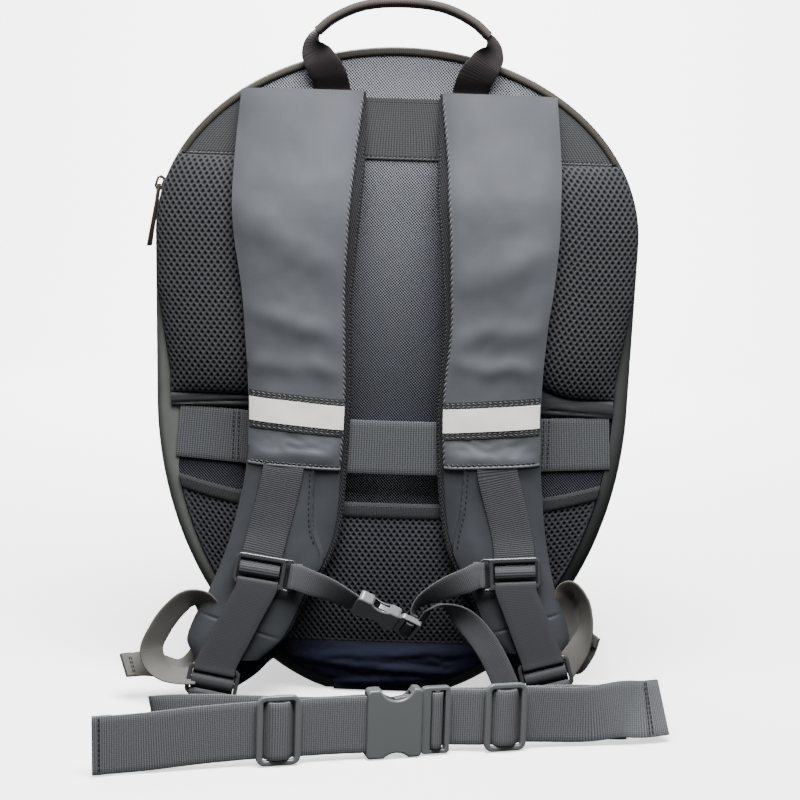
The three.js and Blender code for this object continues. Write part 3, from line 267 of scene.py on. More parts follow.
def modify(piece, kind, **settings):
    """Adds a modifier and applies it."""
    pick(piece)
    modifier = piece.modifiers.new(kind, kind)
    for name, value in settings.items():
        setattr(modifier, name, value)
    bpy.ops.object.modifier_apply(modifier=modifier.name)


def dress(piece, material, slot, *nodes, sharp_deg=40):
    """Points the faces out, shades and paints a piece, hangs it on the pack's body, and hides the parts it
    stands for.
    """
    pick(piece)
    bpy.ops.object.mode_set(mode="EDIT")
    bpy.ops.mesh.select_all(action="SELECT")
    bpy.ops.mesh.normals_make_consistent(inside=False)
    bpy.ops.object.mode_set(mode="OBJECT")
    bpy.ops.object.shade_smooth_by_angle(angle=math.radians(sharp_deg))
    piece.data.materials.clear()
    piece.data.materials.append(material)
    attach(piece, "pack")
    if nodes:
        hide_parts(*nodes)
    return piece


def cubic(values, place):
    """Catmull-Rom reading of equally spaced values at a place from 0 to their last index."""
    i = min(int(place), len(values) - 2)
    t = place - i
    p1, p2 = values[i], values[i + 1]
    p0 = values[i - 1] if i > 0 else 2 * p1 - p2
    p3 = values[i + 2] if i + 2 < len(values) else 2 * p2 - p1
    return p1 + 0.5 * t * (p2 - p0 + t * (2 * p0 - 5 * p1 + 4 * p2 - p3 + t * (3 * (p1 - p2) + p3 - p0)))


def ramp(value, start, end):
    """0 before the start, 1 past the end, and even between them."""
    return min(1, max(0, (value - start) / (end - start)))


def emboss(tree, shader, height, strength, distance):
    """Raises a material's surface by a texture."""
    bump = add_node(tree, "Bump", {"Height": height, "Strength": strength, "Distance": distance})
    tree.links.new(bump.outputs["Normal"], shader.inputs["Normal"])


def rub(tree, shader, cloud, smooth, rough):
    """Lets a cloudy texture lead a material from smooth to rough."""
    level = add_node(tree, "MapRange", {"Value": cloud.outputs["Fac"], "To Min": smooth, "To Max": rough})
    tree.links.new(level.outputs["Result"], shader.inputs["Roughness"])


def blend(tree, share, first, second, way="MIX"):
    """A colour between two, each a hex value or the output of a node."""
    ends = [hex_colour(end) if isinstance(end, str) else end for end in (first, second)]
    node = add_node(tree, "Mix", {0: share, 6: ends[0], 7: ends[1]}, data_type="RGBA", blend_type=way)
    return node.outputs[2]


# ABS in a spark-eroded mould: satin, with a grain of about half a millimetre that breaks up reflections.
GRAIN_MM = 0.6
abs_plastic, tree, shader = new_material("moulded ABS", {"Base Color": "#26282b", "Roughness": 0.46})
coords = add_node(tree, "TexCoord", {})
grain = add_node(tree, "TexVoronoi", {"Vector": coords.outputs["Object"], "Scale": 1 / (GRAIN_MM * MM)})
emboss(tree, shader, grain.outputs["Distance"], 0.35, 0.0002)
cloud = add_node(tree, "TexNoise", {"Vector": coords.outputs["Object"], "Scale": 14.0, "Detail": 4.0})
rub(tree, shader, cloud, 0.4, 0.54)

rings = []
bead_rows = [(0, RIM_BEAD["height"]), (0.5, RIM_BEAD["height"]), (0.8, RIM_BEAD["height"] * 0.6), (1, 0)]
for share, raise_by in bead_rows:
    y = SHELL_RIM_Y + RIM_BEAD["depth"] * share
    rings.append([Vector((x + nx * raise_by, y, max(0, z + nz * raise_by))) for x, z, nx, nz in OUTLINE])
for step in range(2, STEPS_PER_ROW * (len(SHELL_ROWS) - 1) + 1):
    y, scale, below = (cubic([row[k] for row in SHELL_ROWS], step / STEPS_PER_ROW) for k in range(3))
    if abs(y - GROOVE["y"]) < GROOVE["half"] + 1:
        continue
    ring = []
    for x, z, nx, nz in OUTLINE:
        up = z - SHELL_CENTRE_Z
        ring.append(Vector((x * scale, y, max(0, SHELL_CENTRE_Z + up * (below if up < 0 else scale)))))
    if rings[-1][0].y < GROOVE["y"] < y:
        for ahead, deep in ((-1, 0), (-0.5, 1), (0.5, 1), (1, 0)):
            sunk = []
            sunk_y = GROOVE["y"] + ahead * GROOVE["half"]
            for x, z, nx, nz in OUTLINE:
                cut = deep * GROOVE["depth"] * ramp(z, GROOVE["low"], GROOVE["high"])
                sunk.append(Vector((x - nx * cut, sunk_y, max(0, z - nz * cut))))
            rings.append(sunk)
    rings.append(ring)
middle = Vector((0, rings[-1][0].y, SHELL_CENTRE_Z))
for share in FRONT_CAP:
    rings.append([middle + (p - middle) * share for p in rings[-1]])
shell = skin("shell_moulding", rings, wrap=True)
pick(shell)
bpy.ops.object.mode_set(mode="EDIT")
bpy.ops.mesh.select_mode(type="EDGE")
shape = bmesh.from_edit_mesh(shell.data)
front_y = max(v.co.y for v in shape.verts)
for edge in shape.edges:
    edge.select_set(edge.is_boundary and all(v.co.y > front_y - MM for v in edge.verts))
bmesh.update_edit_mesh(shell.data)
bpy.ops.mesh.edge_face_add()
bpy.ops.object.mode_set(mode="OBJECT")
dress(shell, abs_plastic, "shell", "shell", sharp_deg=50)
modify(shell, "SOLIDIFY", thickness=SHELL_WALL * MM, offset=-1)

# The screen window: a smoked acrylic sheet with rounded corners, bonded to the shell's front.
# A moulded bezel frames it. Its lamps are off, and only a faint grid of them shows through the smoke.
SCREEN = {"half": 75, "low": 150, "high": 320, "radius": 18, "thick": 2.5, "back_y": 124.9}
BEZEL = {"wide": 7, "gap": 0.4, "thick": 2.6, "y": 123.2}
UPRIGHT = Matrix(((1, 0, 0, 0), (0, 0, -1, 0), (0, 1, 0, 0), (0, 0, 0, 1)))


def rounded(left, bottom, right, top, radius, steps=6):
    """The corner points of a rectangle with round corners, anticlockwise."""
    corners = [(right - radius, bottom + radius, -90), (right - radius, top - radius, 0),
               (left + radius, top - radius, 90), (left + radius, bottom + radius, 180)]
    points = []
    for x, z, start in corners:
        for i in range(steps + 1):
            angle = math.radians(start + 90 * i / steps)
            points.append((x + radius * math.cos(angle), z + radius * math.sin(angle)))
    return points


def plate(name, outlines, thick, bevel, place, bevel_steps=2):
    """A flat moulding cut from an outline and its holes, in X and Z about a place, with rounded edges."""
    curve = bpy.data.curves.new(name, "CURVE")
    curve.dimensions = "2D"
    curve.fill_mode = "BOTH"
    curve.extrude = thick / 2 - bevel
    curve.bevel_depth = bevel
    curve.bevel_resolution = bevel_steps
    curve.offset = -bevel
    for outline in outlines:
        spline = curve.splines.new("POLY")
        spline.points.add(len(outline) - 1)
        for point, (x, z) in zip(spline.points, outline):
            point.co = (x, z, 0, 1)
        spline.use_cyclic_u = True
    piece = bpy.data.objects.new(name, curve)
    bpy.context.scene.collection.objects.link(piece)
    pick(piece)
    bpy.ops.object.convert(target="MESH")
    piece = bpy.context.object
    bpy.ops.object.mode_set(mode="EDIT")
    bpy.ops.mesh.select_all(action="SELECT")
    bpy.ops.mesh.remove_doubles(threshold=0.01)
    bpy.ops.object.mode_set(mode="OBJECT")
    piece.data.transform(Matrix.Scale(MM, 4) @ place @ UPRIGHT)
    return piece


# Smoked acrylic, cast: almost black, with a gloss like glass, and lamps every three millimetres under it.
LAMP_PITCH_MM = 3.0
acrylic, tree, shader = new_material("smoked acrylic", {"Roughness": 0.07, "IOR": 1.49, "Coat Weight": 0.3})
coords = add_node(tree, "TexCoord", {})
grid = add_node(tree, "Mapping", {"Vector": coords.outputs["Object"],
                                  "Scale": (1 / (LAMP_PITCH_MM * MM), 0, 1 / (LAMP_PITCH_MM * MM))})
cell = add_node(tree, "VectorMath", {0: grid.outputs["Vector"]}, operation="FRACTION")
centred = add_node(tree, "VectorMath", {0: cell.outputs["Vector"], 1: (0.5, 0.0, 0.5)}, operation="SUBTRACT")
reach = add_node(tree, "VectorMath", {0: centred.outputs["Vector"]}, operation="LENGTH")
lamp_spot = add_node(tree, "MapRange", {"Value": reach.outputs["Value"], "From Min": 0.34, "From Max": 0.24})
tint = blend(tree, lamp_spot.outputs["Result"], "#08090b", "#24262a")
tree.links.new(tint, shader.inputs["Base Color"])
window_loop = rounded(-SCREEN["half"], SCREEN["low"], SCREEN["half"], SCREEN["high"], SCREEN["radius"], 10)
window = plate("screen_sheet", [window_loop], SCREEN["thick"], 0.7,
               Matrix.Translation((0, SCREEN["back_y"] - SCREEN["thick"] / 2, 0)))
dress(window, acrylic, "screen", "screen_window")
bezel_loops = []
for grow in (BEZEL["wide"], BEZEL["gap"]):
    bezel_loops.append(rounded(-SCREEN["half"] - grow, SCREEN["low"] - grow, SCREEN["half"] + grow,
                               SCREEN["high"] + grow, SCREEN["radius"] + grow, 10))
bezel = plate("screen_bezel", bezel_loops, BEZEL["thick"], 0.9, Matrix.Translation((0, BEZEL["y"], 0)))
dress(bezel, abs_plastic, "shell")

# The rear gusset: a strip of coated cloth over foam that runs round the back, rolled over at its rear
# edge and turned in under the back panel. Below the zip's ends a plain fabric hinge joins it to the shell.
BACK_Y = -42
LIP = 10
GAP = 0.4
ZIP_BACK_Y = -22
ZIP_FRONT_Y = -4.4
ZIP_END_Z = 79
GUSSET_WALL = 2.5
SLACK = {"share": 0.6, "z": 196, "half": 32}


def sweep(name, profile, keep=None, widen=None):
    """A closed section of (inset, y) pairs, carried round the outline or along the run that keep picks."""
    run = OUTLINE
    if keep:
        start = next(i for i, p in enumerate(OUTLINE) if not keep(p))
        run = [p for p in OUTLINE[start:] + OUTLINE[:start] if keep(p)]
    rows = []
    for x, z, nx, nz in run:
        wide = 1 + widen(x, z) if widen else 1
        insets = [(inset * wide if inset > LIP / 2 else inset, y) for inset, y in profile]
        rows.append([Vector((x - nx * inset, y, max(0, z - nz * inset))) for inset, y in insets])
    return skin(name, rows, wrap=True, loop=not keep, caps=bool(keep))


def slack_lip(x, z):
    """How much wider the left lip lies than the pattern, where the cloth is slack beside the luggage band."""
    return SLACK["share"] * math.exp(-((z - SLACK["z"]) / SLACK["half"]) ** 4) if x < 0 else 0.0


# Polyester cloth with a polyurethane coat, calendered: satin, with a faint hide grain and soft cloudy wear.
HIDE_GRAIN_MM = 0.9


def coated_cloth(name, colour, worn, roughness):
    material, tree, shader = new_material(name, {"Roughness": roughness, "Specular IOR Level": 0.3})
    coords = add_node(tree, "TexCoord", {})
    fineness = 1 / (HIDE_GRAIN_MM * MM)
    grain = add_node(tree, "TexVoronoi", {"Vector": coords.outputs["Object"], "Scale": fineness})
    emboss(tree, shader, grain.outputs["Distance"], 0.22, 0.00012)
    cloud = add_node(tree, "TexNoise", {"Vector": coords.outputs["Object"], "Scale": 26.0, "Detail": 5.0})
    share = add_node(tree, "MapRange", {"Value": cloud.outputs["Fac"], "From Min": 0.35, "From Max": 0.7})
    tint = blend(tree, share.outputs["Result"], colour, worn)
    tree.links.new(tint, shader.inputs["Base Color"])
    rub(tree, shader, cloud, roughness - 0.1, roughness + 0.12)
    return material


# The side cloth is darker towards the floor, and on its right side it carries a painted shade that is deepest
# low down.
SIDE_SPANS = {"above_floor": ("Z", 0.035, 0.11), "painted_shade_right": ("X", 0.12, 0.04), "low": ("Z", 0.2, 0.09)}
side_cloth = coated_cloth("coated side cloth", "#4a4d4a", "#585a55", 0.5)
tree = side_cloth.node_tree
coat = tree.nodes["Principled BSDF"].inputs["Base Color"]
coords = add_node(tree, "TexCoord", {})
place_of = add_node(tree, "SeparateXYZ", {"Vector": coords.outputs["Object"]})
spans = {}
for name, (axis, start, end) in SIDE_SPANS.items():
    span = add_node(tree, "MapRange", {"Value": place_of.outputs[axis], "From Min": start, "From Max": end})
    spans[name] = span.outputs["Result"]
# Painted shade: the right side's colour, darker still low down.
right_shade = blend(tree, spans["low"], "#333534", "#151617")
coat_shade = blend(tree, spans["painted_shade_right"], right_shade, coat.links[0].from_socket)
tree.links.new(blend(tree, spans["above_floor"], "#0d0e13", coat_shade), coat)
gusset_profile = [(0.2, ZIP_BACK_Y - GAP), (-0.5, -25), (-0.9, -29), (-0.9, -33), (-0.3, -36.4), (0.9, -39),
                  (2.6, -41), (4.6, -42.3), (6.6, -42.8), (8.4, -42.9), (LIP, -42.6), (LIP, -39.8),
                  (6.6, -39.5), (4.4, -38.8), (3.1, -37.4), (GUSSET_WALL, -35.5),
                  (GUSSET_WALL, ZIP_BACK_Y - GAP)]
gusset = sweep("gusset_strip", gusset_profile, widen=slack_lip)
dress(gusset, side_cloth, "rubberised", "rear_gusset", sharp_deg=60)

# Plain-woven polyester, dyed navy: matt, with a fine diagonal rib.
# A wave texture of this scale has one band in each unit.
ONE_BAND = 0.31416
BASE_RIB_MM = 1.1


def rib_cloth(name, dark, light, rib_mm, turn_deg, depth_mm, roughness=0.85, cross=0.35):
    """Twill on the X and Z of the pack: a bold diagonal rib, broken by the crossing yarn."""
    material, tree, shader = new_material(name, {"Roughness": roughness, "Specular IOR Level": 0.12})
    coords = add_node(tree, "TexCoord", {})
    turn = (0, math.radians(turn_deg), 0)
    turned = add_node(tree, "Mapping", {"Vector": coords.outputs["Object"], "Rotation": turn})
    wave = {"Vector": turned.outputs["Vector"], "Scale": ONE_BAND / (rib_mm * MM), "Distortion": 0.6,
            "Detail": 1.0, "Detail Scale": 2.0}
    rib, yarn = (add_node(tree, "TexWave", wave, bands_direction=axis).outputs["Fac"] for axis in "XZ")
    height = add_node(tree, "Mix", {0: cross, 2: rib, 3: yarn}, data_type="FLOAT")
    emboss(tree, shader, height.outputs[0], 0.9, depth_mm * MM)
    level = add_node(tree, "MapRange", {"Value": height.outputs[0], "From Min": 0.3, "From Max": 0.7})
    tint = blend(tree, level.outputs["Result"], dark, light)
    tree.links.new(tint, shader.inputs["Base Color"])
    return material


base_cloth = rib_cloth("navy base cloth", "#0b0d19", "#1a1d2c", BASE_RIB_MM, 35, 0.25)
hinge_profile = [(0, ZIP_BACK_Y + 0.2), (-0.4, -17), (-0.5, -13), (-0.4, -9), (0, ZIP_FRONT_Y - 0.2),
                 (2.3, ZIP_FRONT_Y - 0.2), (2.3, ZIP_BACK_Y + 0.2)]
hinge = sweep("hinge_strip", hinge_profile, lambda p: p[1] < ZIP_END_Z)
dress(hinge, base_cloth, "base", "gusset_hinge", sharp_deg=60)

# The zip: a woven polyester tape sewn to shell and gusset, with a nylon coil along its middle.
# Each tooth is one turn of the coil, and the teeth of the two sides lock in turn.
TAPE_OUT = 0.6
TAPE_IN = 1.8
TOOTH = {"pitch": 2.3, "radius": 0.85, "half_length": 2.1, "offset": 0.7}


def webbing_cloth(name, dark, light, rib_mm, column_mm, depth_mm=0.22, roughness=0.62, column_share=0.2):
    """Webbing on its own UV map: ribs across its width, lightly broken by the long yarns and by fibre."""
    material, tree, shader = new_material(name, {"Roughness": roughness, "Specular IOR Level": 0.16})
    coords = add_node(tree, "TexCoord", {})
    wave = {"Vector": coords.outputs["UV"], "Distortion": 0.4, "Detail": 1.0, "Detail Scale": 1.5}
    rib = add_node(tree, "TexWave", {**wave, "Scale": ONE_BAND / (rib_mm * MM)}, bands_direction="Y")
    column = add_node(tree, "TexWave", {**wave, "Scale": ONE_BAND / (column_mm * MM)}, bands_direction="X")
    weave = {0: column_share, 2: rib.outputs["Fac"], 3: column.outputs["Fac"]}
    height = add_node(tree, "Mix", weave, data_type="FLOAT")
    fibre = add_node(tree, "TexNoise", {"Vector": coords.outputs["UV"], "Scale": 900.0, "Detail": 2.0})
    level = add_node(tree, "Mix", {0: 0.4, 2: height.outputs[0], 3: fibre.outputs["Fac"]}, data_type="FLOAT")
    emboss(tree, shader, height.outputs[0], 0.8, depth_mm * MM)
    tree.links.new(blend(tree, level.outputs[0], dark, light), shader.inputs["Base Color"])
    return material


# Zip tape is woven like fine webbing. Its nylon coil is extruded and dull black.
tape_cloth = webbing_cloth("zip tape", "#17181b", "#2c2e32", 1.1, 0.9)
nylon = new_material("nylon coil", {"Base Color": "#1c1d20", "Roughness": 0.42})[0]
zip_mid_y = (ZIP_BACK_Y + ZIP_FRONT_Y) / 2
tape_profile = [(TAPE_IN, ZIP_BACK_Y), (TAPE_OUT, ZIP_BACK_Y), (TAPE_OUT - 0.2, zip_mid_y - 5),
                (TAPE_OUT, zip_mid_y), (TAPE_OUT - 0.2, zip_mid_y + 5), (TAPE_OUT, ZIP_FRONT_Y),
                (TAPE_IN, ZIP_FRONT_Y)]
tape = sweep("zip_tape", tape_profile, lambda p: p[1] > ZIP_END_Z - 4)
dress(tape, tape_cloth, "webbing", "zip", sharp_deg=60)


def copies(name, model, places):
    """One mesh of many copies of a small model, each at its own matrix in millimetres."""
    verts, faces = [], []
    points = [v.co.copy() for v in model.data.vertices]
    sides = [tuple(p.vertices) for p in model.data.polygons]
    for place in places:
        first = len(verts)
        verts += [(place @ p) * MM for p in points]
        faces += [tuple(first + i for i in side) for side in sides]
    bpy.data.objects.remove(model)
    mesh = bpy.data.meshes.new(name)
    mesh.from_pydata(verts, [], faces)
    piece = bpy.data.objects.new(name, mesh)
    bpy.context.scene.collection.objects.link(piece)
    return piece


bpy.ops.object.select_all(action="DESELECT")
bpy.ops.mesh.primitive_cylinder_add(vertices=7, radius=TOOTH["radius"], depth=TOOTH["half_length"] * 2,
                                    rotation=(math.pi / 2, 0, 0))
bpy.ops.object.transform_apply(location=True, rotation=True, scale=True)
bpy.ops.object.mode_set(mode="EDIT")
bpy.ops.mesh.select_all(action="SELECT")
bpy.ops.mesh.bevel(offset=0.3, segments=1)
bpy.ops.object.mode_set(mode="OBJECT")
tooth = bpy.context.object
zip_run = [p for p in OUTLINE if p[1] > ZIP_END_Z]
arch = [p for p in zip_run if p[0] > 0] + [p for p in zip_run if p[0] <= 0]
tooth_places = []
travelled, due = 0.0, 0.0
for (ax, az, anx, anz), (bx, bz, bnx, bnz) in zip(arch, arch[1:]):
    length = math.hypot(bx - ax, bz - az)
    while due < travelled + length:
        share = (due - travelled) / length
        out = Vector((anx + (bnx - anx) * share, 0, anz + (bnz - anz) * share)).normalized()
        side = 1 if len(tooth_places) % 2 else -1
        at = Vector((ax + (bx - ax) * share, zip_mid_y + side * TOOTH["offset"], az + (bz - az) * share))
        along = out.cross(Vector((0, 1, 0)))
        turn = Matrix((out, Vector((0, 1, 0)), along)).transposed().to_4x4()
        tooth_places.append(Matrix.Translation(at - out * 0.1) @ turn)
        due += TOOTH["pitch"]
    travelled += length
coil = copies("zip_coil", tooth, tooth_places)
dress(coil, nylon, "puller")

# The back panel: a coarse polyester twill stretched on a board inside the gusset's lip.
# Between the straps it is drawn in a little. Its colour carries painted light and shade: darker and navy
# towards the floor, a painted shadow beside the straps, and lighter in the recess under the luggage band.
PANEL = {"inset": 10.6, "arch_inset": 4.2, "arch_lift": 1.25, "arch_from": 380, "arch_to": 388, "thick": 3.5,
         "dish": 2.4, "dish_half": 38, "dish_foot": (150, 210), "dish_top": (378, 338), "rings": 28}
PAINTED_LIGHT = {"least": 0.08, "from_z": 140, "to_z": 410, "power": 1.7, "line": 0.3, "line_z": 148, "line_half": 12}
STRAP_SHADE = {"x": 44, "from_z": 395, "to_z": 365, "share": 0.6}
TWILL_RIB_MM = 1.5
panel_twill = rib_cloth("coarse twill", "#08090b", "#83858b", TWILL_RIB_MM, 42, 0.4, cross=0.42)
tree = panel_twill.node_tree
# Painted light and shade, carried on a point attribute, darken the woven colour towards navy where it is low.
painted_light = add_node(tree, "Attribute", {}, attribute_name="painted_light")
woven = tree.nodes["Principled BSDF"].inputs["Base Color"].links[0].from_socket
shade_tint = blend(tree, painted_light.outputs["Fac"], "#4b4d5a", "#ffffff")
shaded = blend(tree, 1.0, woven, shade_tint, "MULTIPLY")
tree.links.new(shaded, tree.nodes["Principled BSDF"].inputs["Base Color"])


def painted_light_at(x, z):
    """How much painted light the twill gets: less towards the floor, less in a painted shadow close beside
    the straps, and more in the recess under the luggage band.
    """
    level = PAINTED_LIGHT["least"] + (1 - PAINTED_LIGHT["least"]) * ramp(z, PAINTED_LIGHT["from_z"], PAINTED_LIGHT["to_z"]) ** PAINTED_LIGHT["power"]
    level += PAINTED_LIGHT["line"] * math.exp(-((z - PAINTED_LIGHT["line_z"]) / PAINTED_LIGHT["line_half"]) ** 2)
    beside = ramp(abs(x), 0, STRAP_SHADE["x"]) ** 2 * ramp(z, STRAP_SHADE["from_z"], STRAP_SHADE["to_z"])
    return level * (1 - STRAP_SHADE["share"] * beside)


def draw_rim(shape, edges, depth):
    """Draws the edges of a sheet towards the front, and returns what that made."""
    made = bmesh.ops.extrude_edge_only(shape, edges=edges)["geom"]
    for vert in (g for g in made if isinstance(g, bmesh.types.BMVert)):
        vert.co.y += depth * MM
    return made


edge_loop = []
for x, z, nx, nz in OUTLINE:
    arch_share = ramp(z, PANEL["arch_from"], PANEL["arch_to"])
    inset = PANEL["inset"] + (PANEL["arch_inset"] - PANEL["inset"]) * arch_share
    edge_y = BACK_Y - PANEL["arch_lift"] * arch_share
    edge_loop.append(Vector((x - nx * inset, edge_y, max(0.6, z - nz * inset))))
panel_rows = []
panel_middle = Vector((0, BACK_Y, SHELL_CENTRE_Z))
for step in range(PANEL["rings"]):
    share = 1 - step / PANEL["rings"]
    row = []
    for p in edge_loop:
        q = panel_middle + (p - panel_middle) * share
        hollow = max(0, 1 - (q.x / PANEL["dish_half"]) ** 2)
        level = ramp(q.z, *PANEL["dish_foot"]) * ramp(q.z, *PANEL["dish_top"])
        row.append(q + Vector((0, PANEL["dish"] * hollow * level, 0)))
    panel_rows.append(row)
panel = skin("back_panel_cloth", panel_rows, wrap=True)
attribute = panel.data.attributes.new("painted_light", "FLOAT", "POINT")
attribute.data.foreach_set("value", [painted_light_at(p.x, p.z) for row in panel_rows for p in row])
pick(panel)
bpy.ops.object.mode_set(mode="EDIT")
shape = bmesh.from_edit_mesh(panel.data)
shape.verts.ensure_lookup_table()
outer = set(shape.verts[:len(OUTLINE)])
border = [e for e in shape.edges if e.is_boundary]
bmesh.ops.edgeloop_fill(shape, edges=[e for e in border if e.verts[0] not in outer])
rim = [e for e in border if e.verts[0] in outer]
made = draw_rim(shape, rim, PANEL["thick"])
back_rim = [g for g in made if isinstance(g, bmesh.types.BMEdge) and g.is_boundary]
bmesh.ops.edgeloop_fill(shape, edges=back_rim)
bmesh.update_edit_mesh(panel.data)
bpy.ops.object.mode_set(mode="OBJECT")
dress(panel, panel_twill, "twill", "back_panel")

# The piping: a filler cord in a folded woven tape, sewn into the seam over the top of the back.
PIPING = {"radius": 2.5, "inset": 2.9, "forward": 1.1, "from_z": 384.5, "steps": 90}
piping_tape = webbing_cloth("piping tape", "#1e1c18", "#3e3b36", 1.3, 1.0, 0.3, 0.8)
low = math.asin((PIPING["from_z"] - CROWN["centre_z"]) / CROWN["rise"])
piping_rows = []
for step in range(PIPING["steps"] + 1):
    angle = low + (math.pi - 2 * low) * step / PIPING["steps"]
    out = Vector((math.cos(angle) / CROWN["half"], 0, math.sin(angle) / CROWN["rise"])).normalized()
    centre = Vector((CROWN["half"] * math.cos(angle), BACK_Y - PIPING["forward"],
                     CROWN["centre_z"] + CROWN["rise"] * math.sin(angle))) - out * PIPING["inset"]
    pucker = 1 + 0.04 * noise.noise(Vector((step * 0.9, 3, 0)))
    piping_rows.append([centre + (out * math.cos(t) + Vector((0, math.sin(t), 0))) * PIPING["radius"] * pucker
                        for t in (math.tau * k / 14 for k in range(14))])
piping = skin("piping_cord", piping_rows, wrap=True, caps=True)
dress(piping, piping_tape, "piping", "piping")

# The two back pads: thick spacer mesh over foam, crowned, with open holes in a staggered lattice.
# Each is sewn to the panel round its edge, and its outer edge turns over the gusset's lip.
PAD = {"top": 381.2, "inner": 40, "edge": 3, "crown": 14, "strip_from": 290, "strip_to": 230}
PAD_FOOT = {"left": 214.6, "right": 217.8}
FOOT_DRAW = {"high": 8, "bend": 128, "until": 0.8}
KNIT = {"pitch_x": 4.4, "pitch_z": 3.05, "ridge": 0.32, "weak": 0.86, "depth": 1.4}


def half_at(z, inset):
    """Half the back's width at a height, on the outline moved in by an inset."""
    right = sorted((zz - nz * inset, x - nx * inset) for x, zz, nx, nz in OUTLINE if x >= 0)
    for (low_z, low_x), (high_z, high_x) in zip(right, right[1:]):
        if z <= high_z:
            share = (z - low_z) / max(1e-6, high_z - low_z)
            return low_x + (high_x - low_x) * max(0, share)
    return 0.0


def crowned(t, power):
    return 1 - abs(2 * t - 1) ** power


def hole_at(x, z):
    """How open the knit is: 0 on its bold diagonal ridges, more on the weak ones, and 1 in the holes."""
    across, up = x / KNIT["pitch_x"], z / (2 * KNIT["pitch_z"])
    bold = abs((across + up) % 1 - 0.5) / KNIT["ridge"]
    weak = abs((across - up) % 1 - 0.5) / KNIT["ridge"]
    yarn = max(1 - min(1, bold) ** 2, KNIT["weak"] * (1 - min(1, weak) ** 2))
    return 1 - yarn


def spacer_mesh(name, columns, rows, place, edge_share=0.012):
    """A sheet with real mesh holes, whose lattice follows the cloth from the sheet's middle outwards."""
    sheet = [[place(i / columns, j / rows) for i in range(columns + 1)] for j in range(rows + 1)]
    across = [[0.0] * (columns + 1) for row in sheet]
    up = [[0.0] * (columns + 1) for row in sheet]
    middle_i, middle_j = columns // 2, rows // 2
    for j, row in enumerate(sheet):
        for i in range(middle_i + 1, columns + 1):
            across[j][i] = across[j][i - 1] + (row[i].xy - row[i - 1].xy).length
        for i in range(middle_i - 1, -1, -1):
            across[j][i] = across[j][i + 1] - (row[i].xy - row[i + 1].xy).length
    for i in range(columns + 1):
        for j in range(middle_j + 1, rows + 1):
            up[j][i] = up[j - 1][i] + (sheet[j][i].yz - sheet[j - 1][i].yz).length
        for j in range(middle_j - 1, -1, -1):
            up[j][i] = up[j + 1][i] - (sheet[j][i].yz - sheet[j + 1][i].yz).length
    holes, points = [], []
    for j, row in enumerate(sheet):
        points.append([])
        for i, at in enumerate(row):
            u, v = i / columns, j / rows
            calm = min(1, u / edge_share, (1 - u) / edge_share, v / edge_share, (1 - v) / edge_share)
            hole = hole_at(across[j][i], up[j][i])
            holes.append(hole)
            points[-1].append(at + Vector((0, KNIT["depth"] * hole * calm, 0)))
    piece = skin(name, points)
    attribute = piece.data.attributes.new("hole", "FLOAT", "POINT")
    attribute.data.foreach_set("value", holes)
    return piece


def close_back(piece, back_y):
    """Carries a sheet's edge straight back to a flat face."""
    pick(piece)
    bpy.ops.object.mode_set(mode="EDIT")
    shape = bmesh.from_edit_mesh(piece.data)
    border = [e for e in shape.edges if e.is_boundary]
    made = bmesh.ops.extrude_edge_only(shape, edges=border)["geom"]
    for vert in (g for g in made if isinstance(g, bmesh.types.BMVert)):
        vert.co.y = back_y * MM
    new_edges = [g for g in made if isinstance(g, bmesh.types.BMEdge)]
    rim = [e for e in new_edges if all(abs(v.co.y - back_y * MM) < 1e-7 for v in e.verts)]
    bmesh.ops.edgeloop_fill(shape, edges=rim)
    bmesh.update_edit_mesh(piece.data)
    bpy.ops.object.mode_set(mode="OBJECT")


# Knitted polyester spacer mesh: dull grey yarn with a fibre nap, and round holes painted near black as the
# shade inside them.
def knitted_mesh(name, yarn_dark, yarn_light, hole_shade):
    material, tree, shader = new_material(name, {"Roughness": 0.78, "Specular IOR Level": 0.14})
    coords = add_node(tree, "TexCoord", {})
    hole = add_node(tree, "Attribute", {}, attribute_name="hole")
    fibre = add_node(tree, "TexNoise", {"Vector": coords.outputs["Object"], "Scale": 900.0, "Detail": 3.0})
    yarn = blend(tree, fibre.outputs["Fac"], yarn_dark, yarn_light)
    tree.links.new(blend(tree, hole.outputs["Fac"], yarn, hole_shade), shader.inputs["Base Color"])
    emboss(tree, shader, fibre.outputs["Fac"], 0.4, 0.0002)
    return material


pad_mesh = knitted_mesh("grey spacer mesh", "#262628", "#3e3f42", "#0e0e10")
SIDES = {"left": -1, "right": 1}
PAD_GRID = (200, 262)


def foot_draw(side, u):
    """How far the pad's lower edge is drawn up: only on the right side, towards the strap."""
    if side < 0:
        return 0
    return min(FOOT_DRAW["high"], FOOT_DRAW["bend"] * max(0, FOOT_DRAW["until"] - u) ** 2)


for word, side in SIDES.items():
    reach = {}

    def pad_point(u, v):
        low = PAD_FOOT[word] + foot_draw(side, u)
        z = low + (PAD["top"] - low) * v
        key = round(z, 1)
        if key not in reach:
            strip = ramp(z, PAD["strip_from"], PAD["strip_to"])
            reach[key] = half_at(z, 1 + (LIP - 1) * strip)
        thick = PAD["edge"] + (PAD["crown"] - PAD["edge"]) * math.sqrt(crowned(u, 3) * crowned(v, 4))
        return Vector((side * (PAD["inner"] + (reach[key] - PAD["inner"]) * u), BACK_Y - GAP - thick, z))

    pad = spacer_mesh(f"back_pad_{word}", *PAD_GRID, pad_point)
    close_back(pad, BACK_Y - GAP)
    dress(pad, pad_mesh, "mesh", f"mesh_pad_{word}", sharp_deg=80)

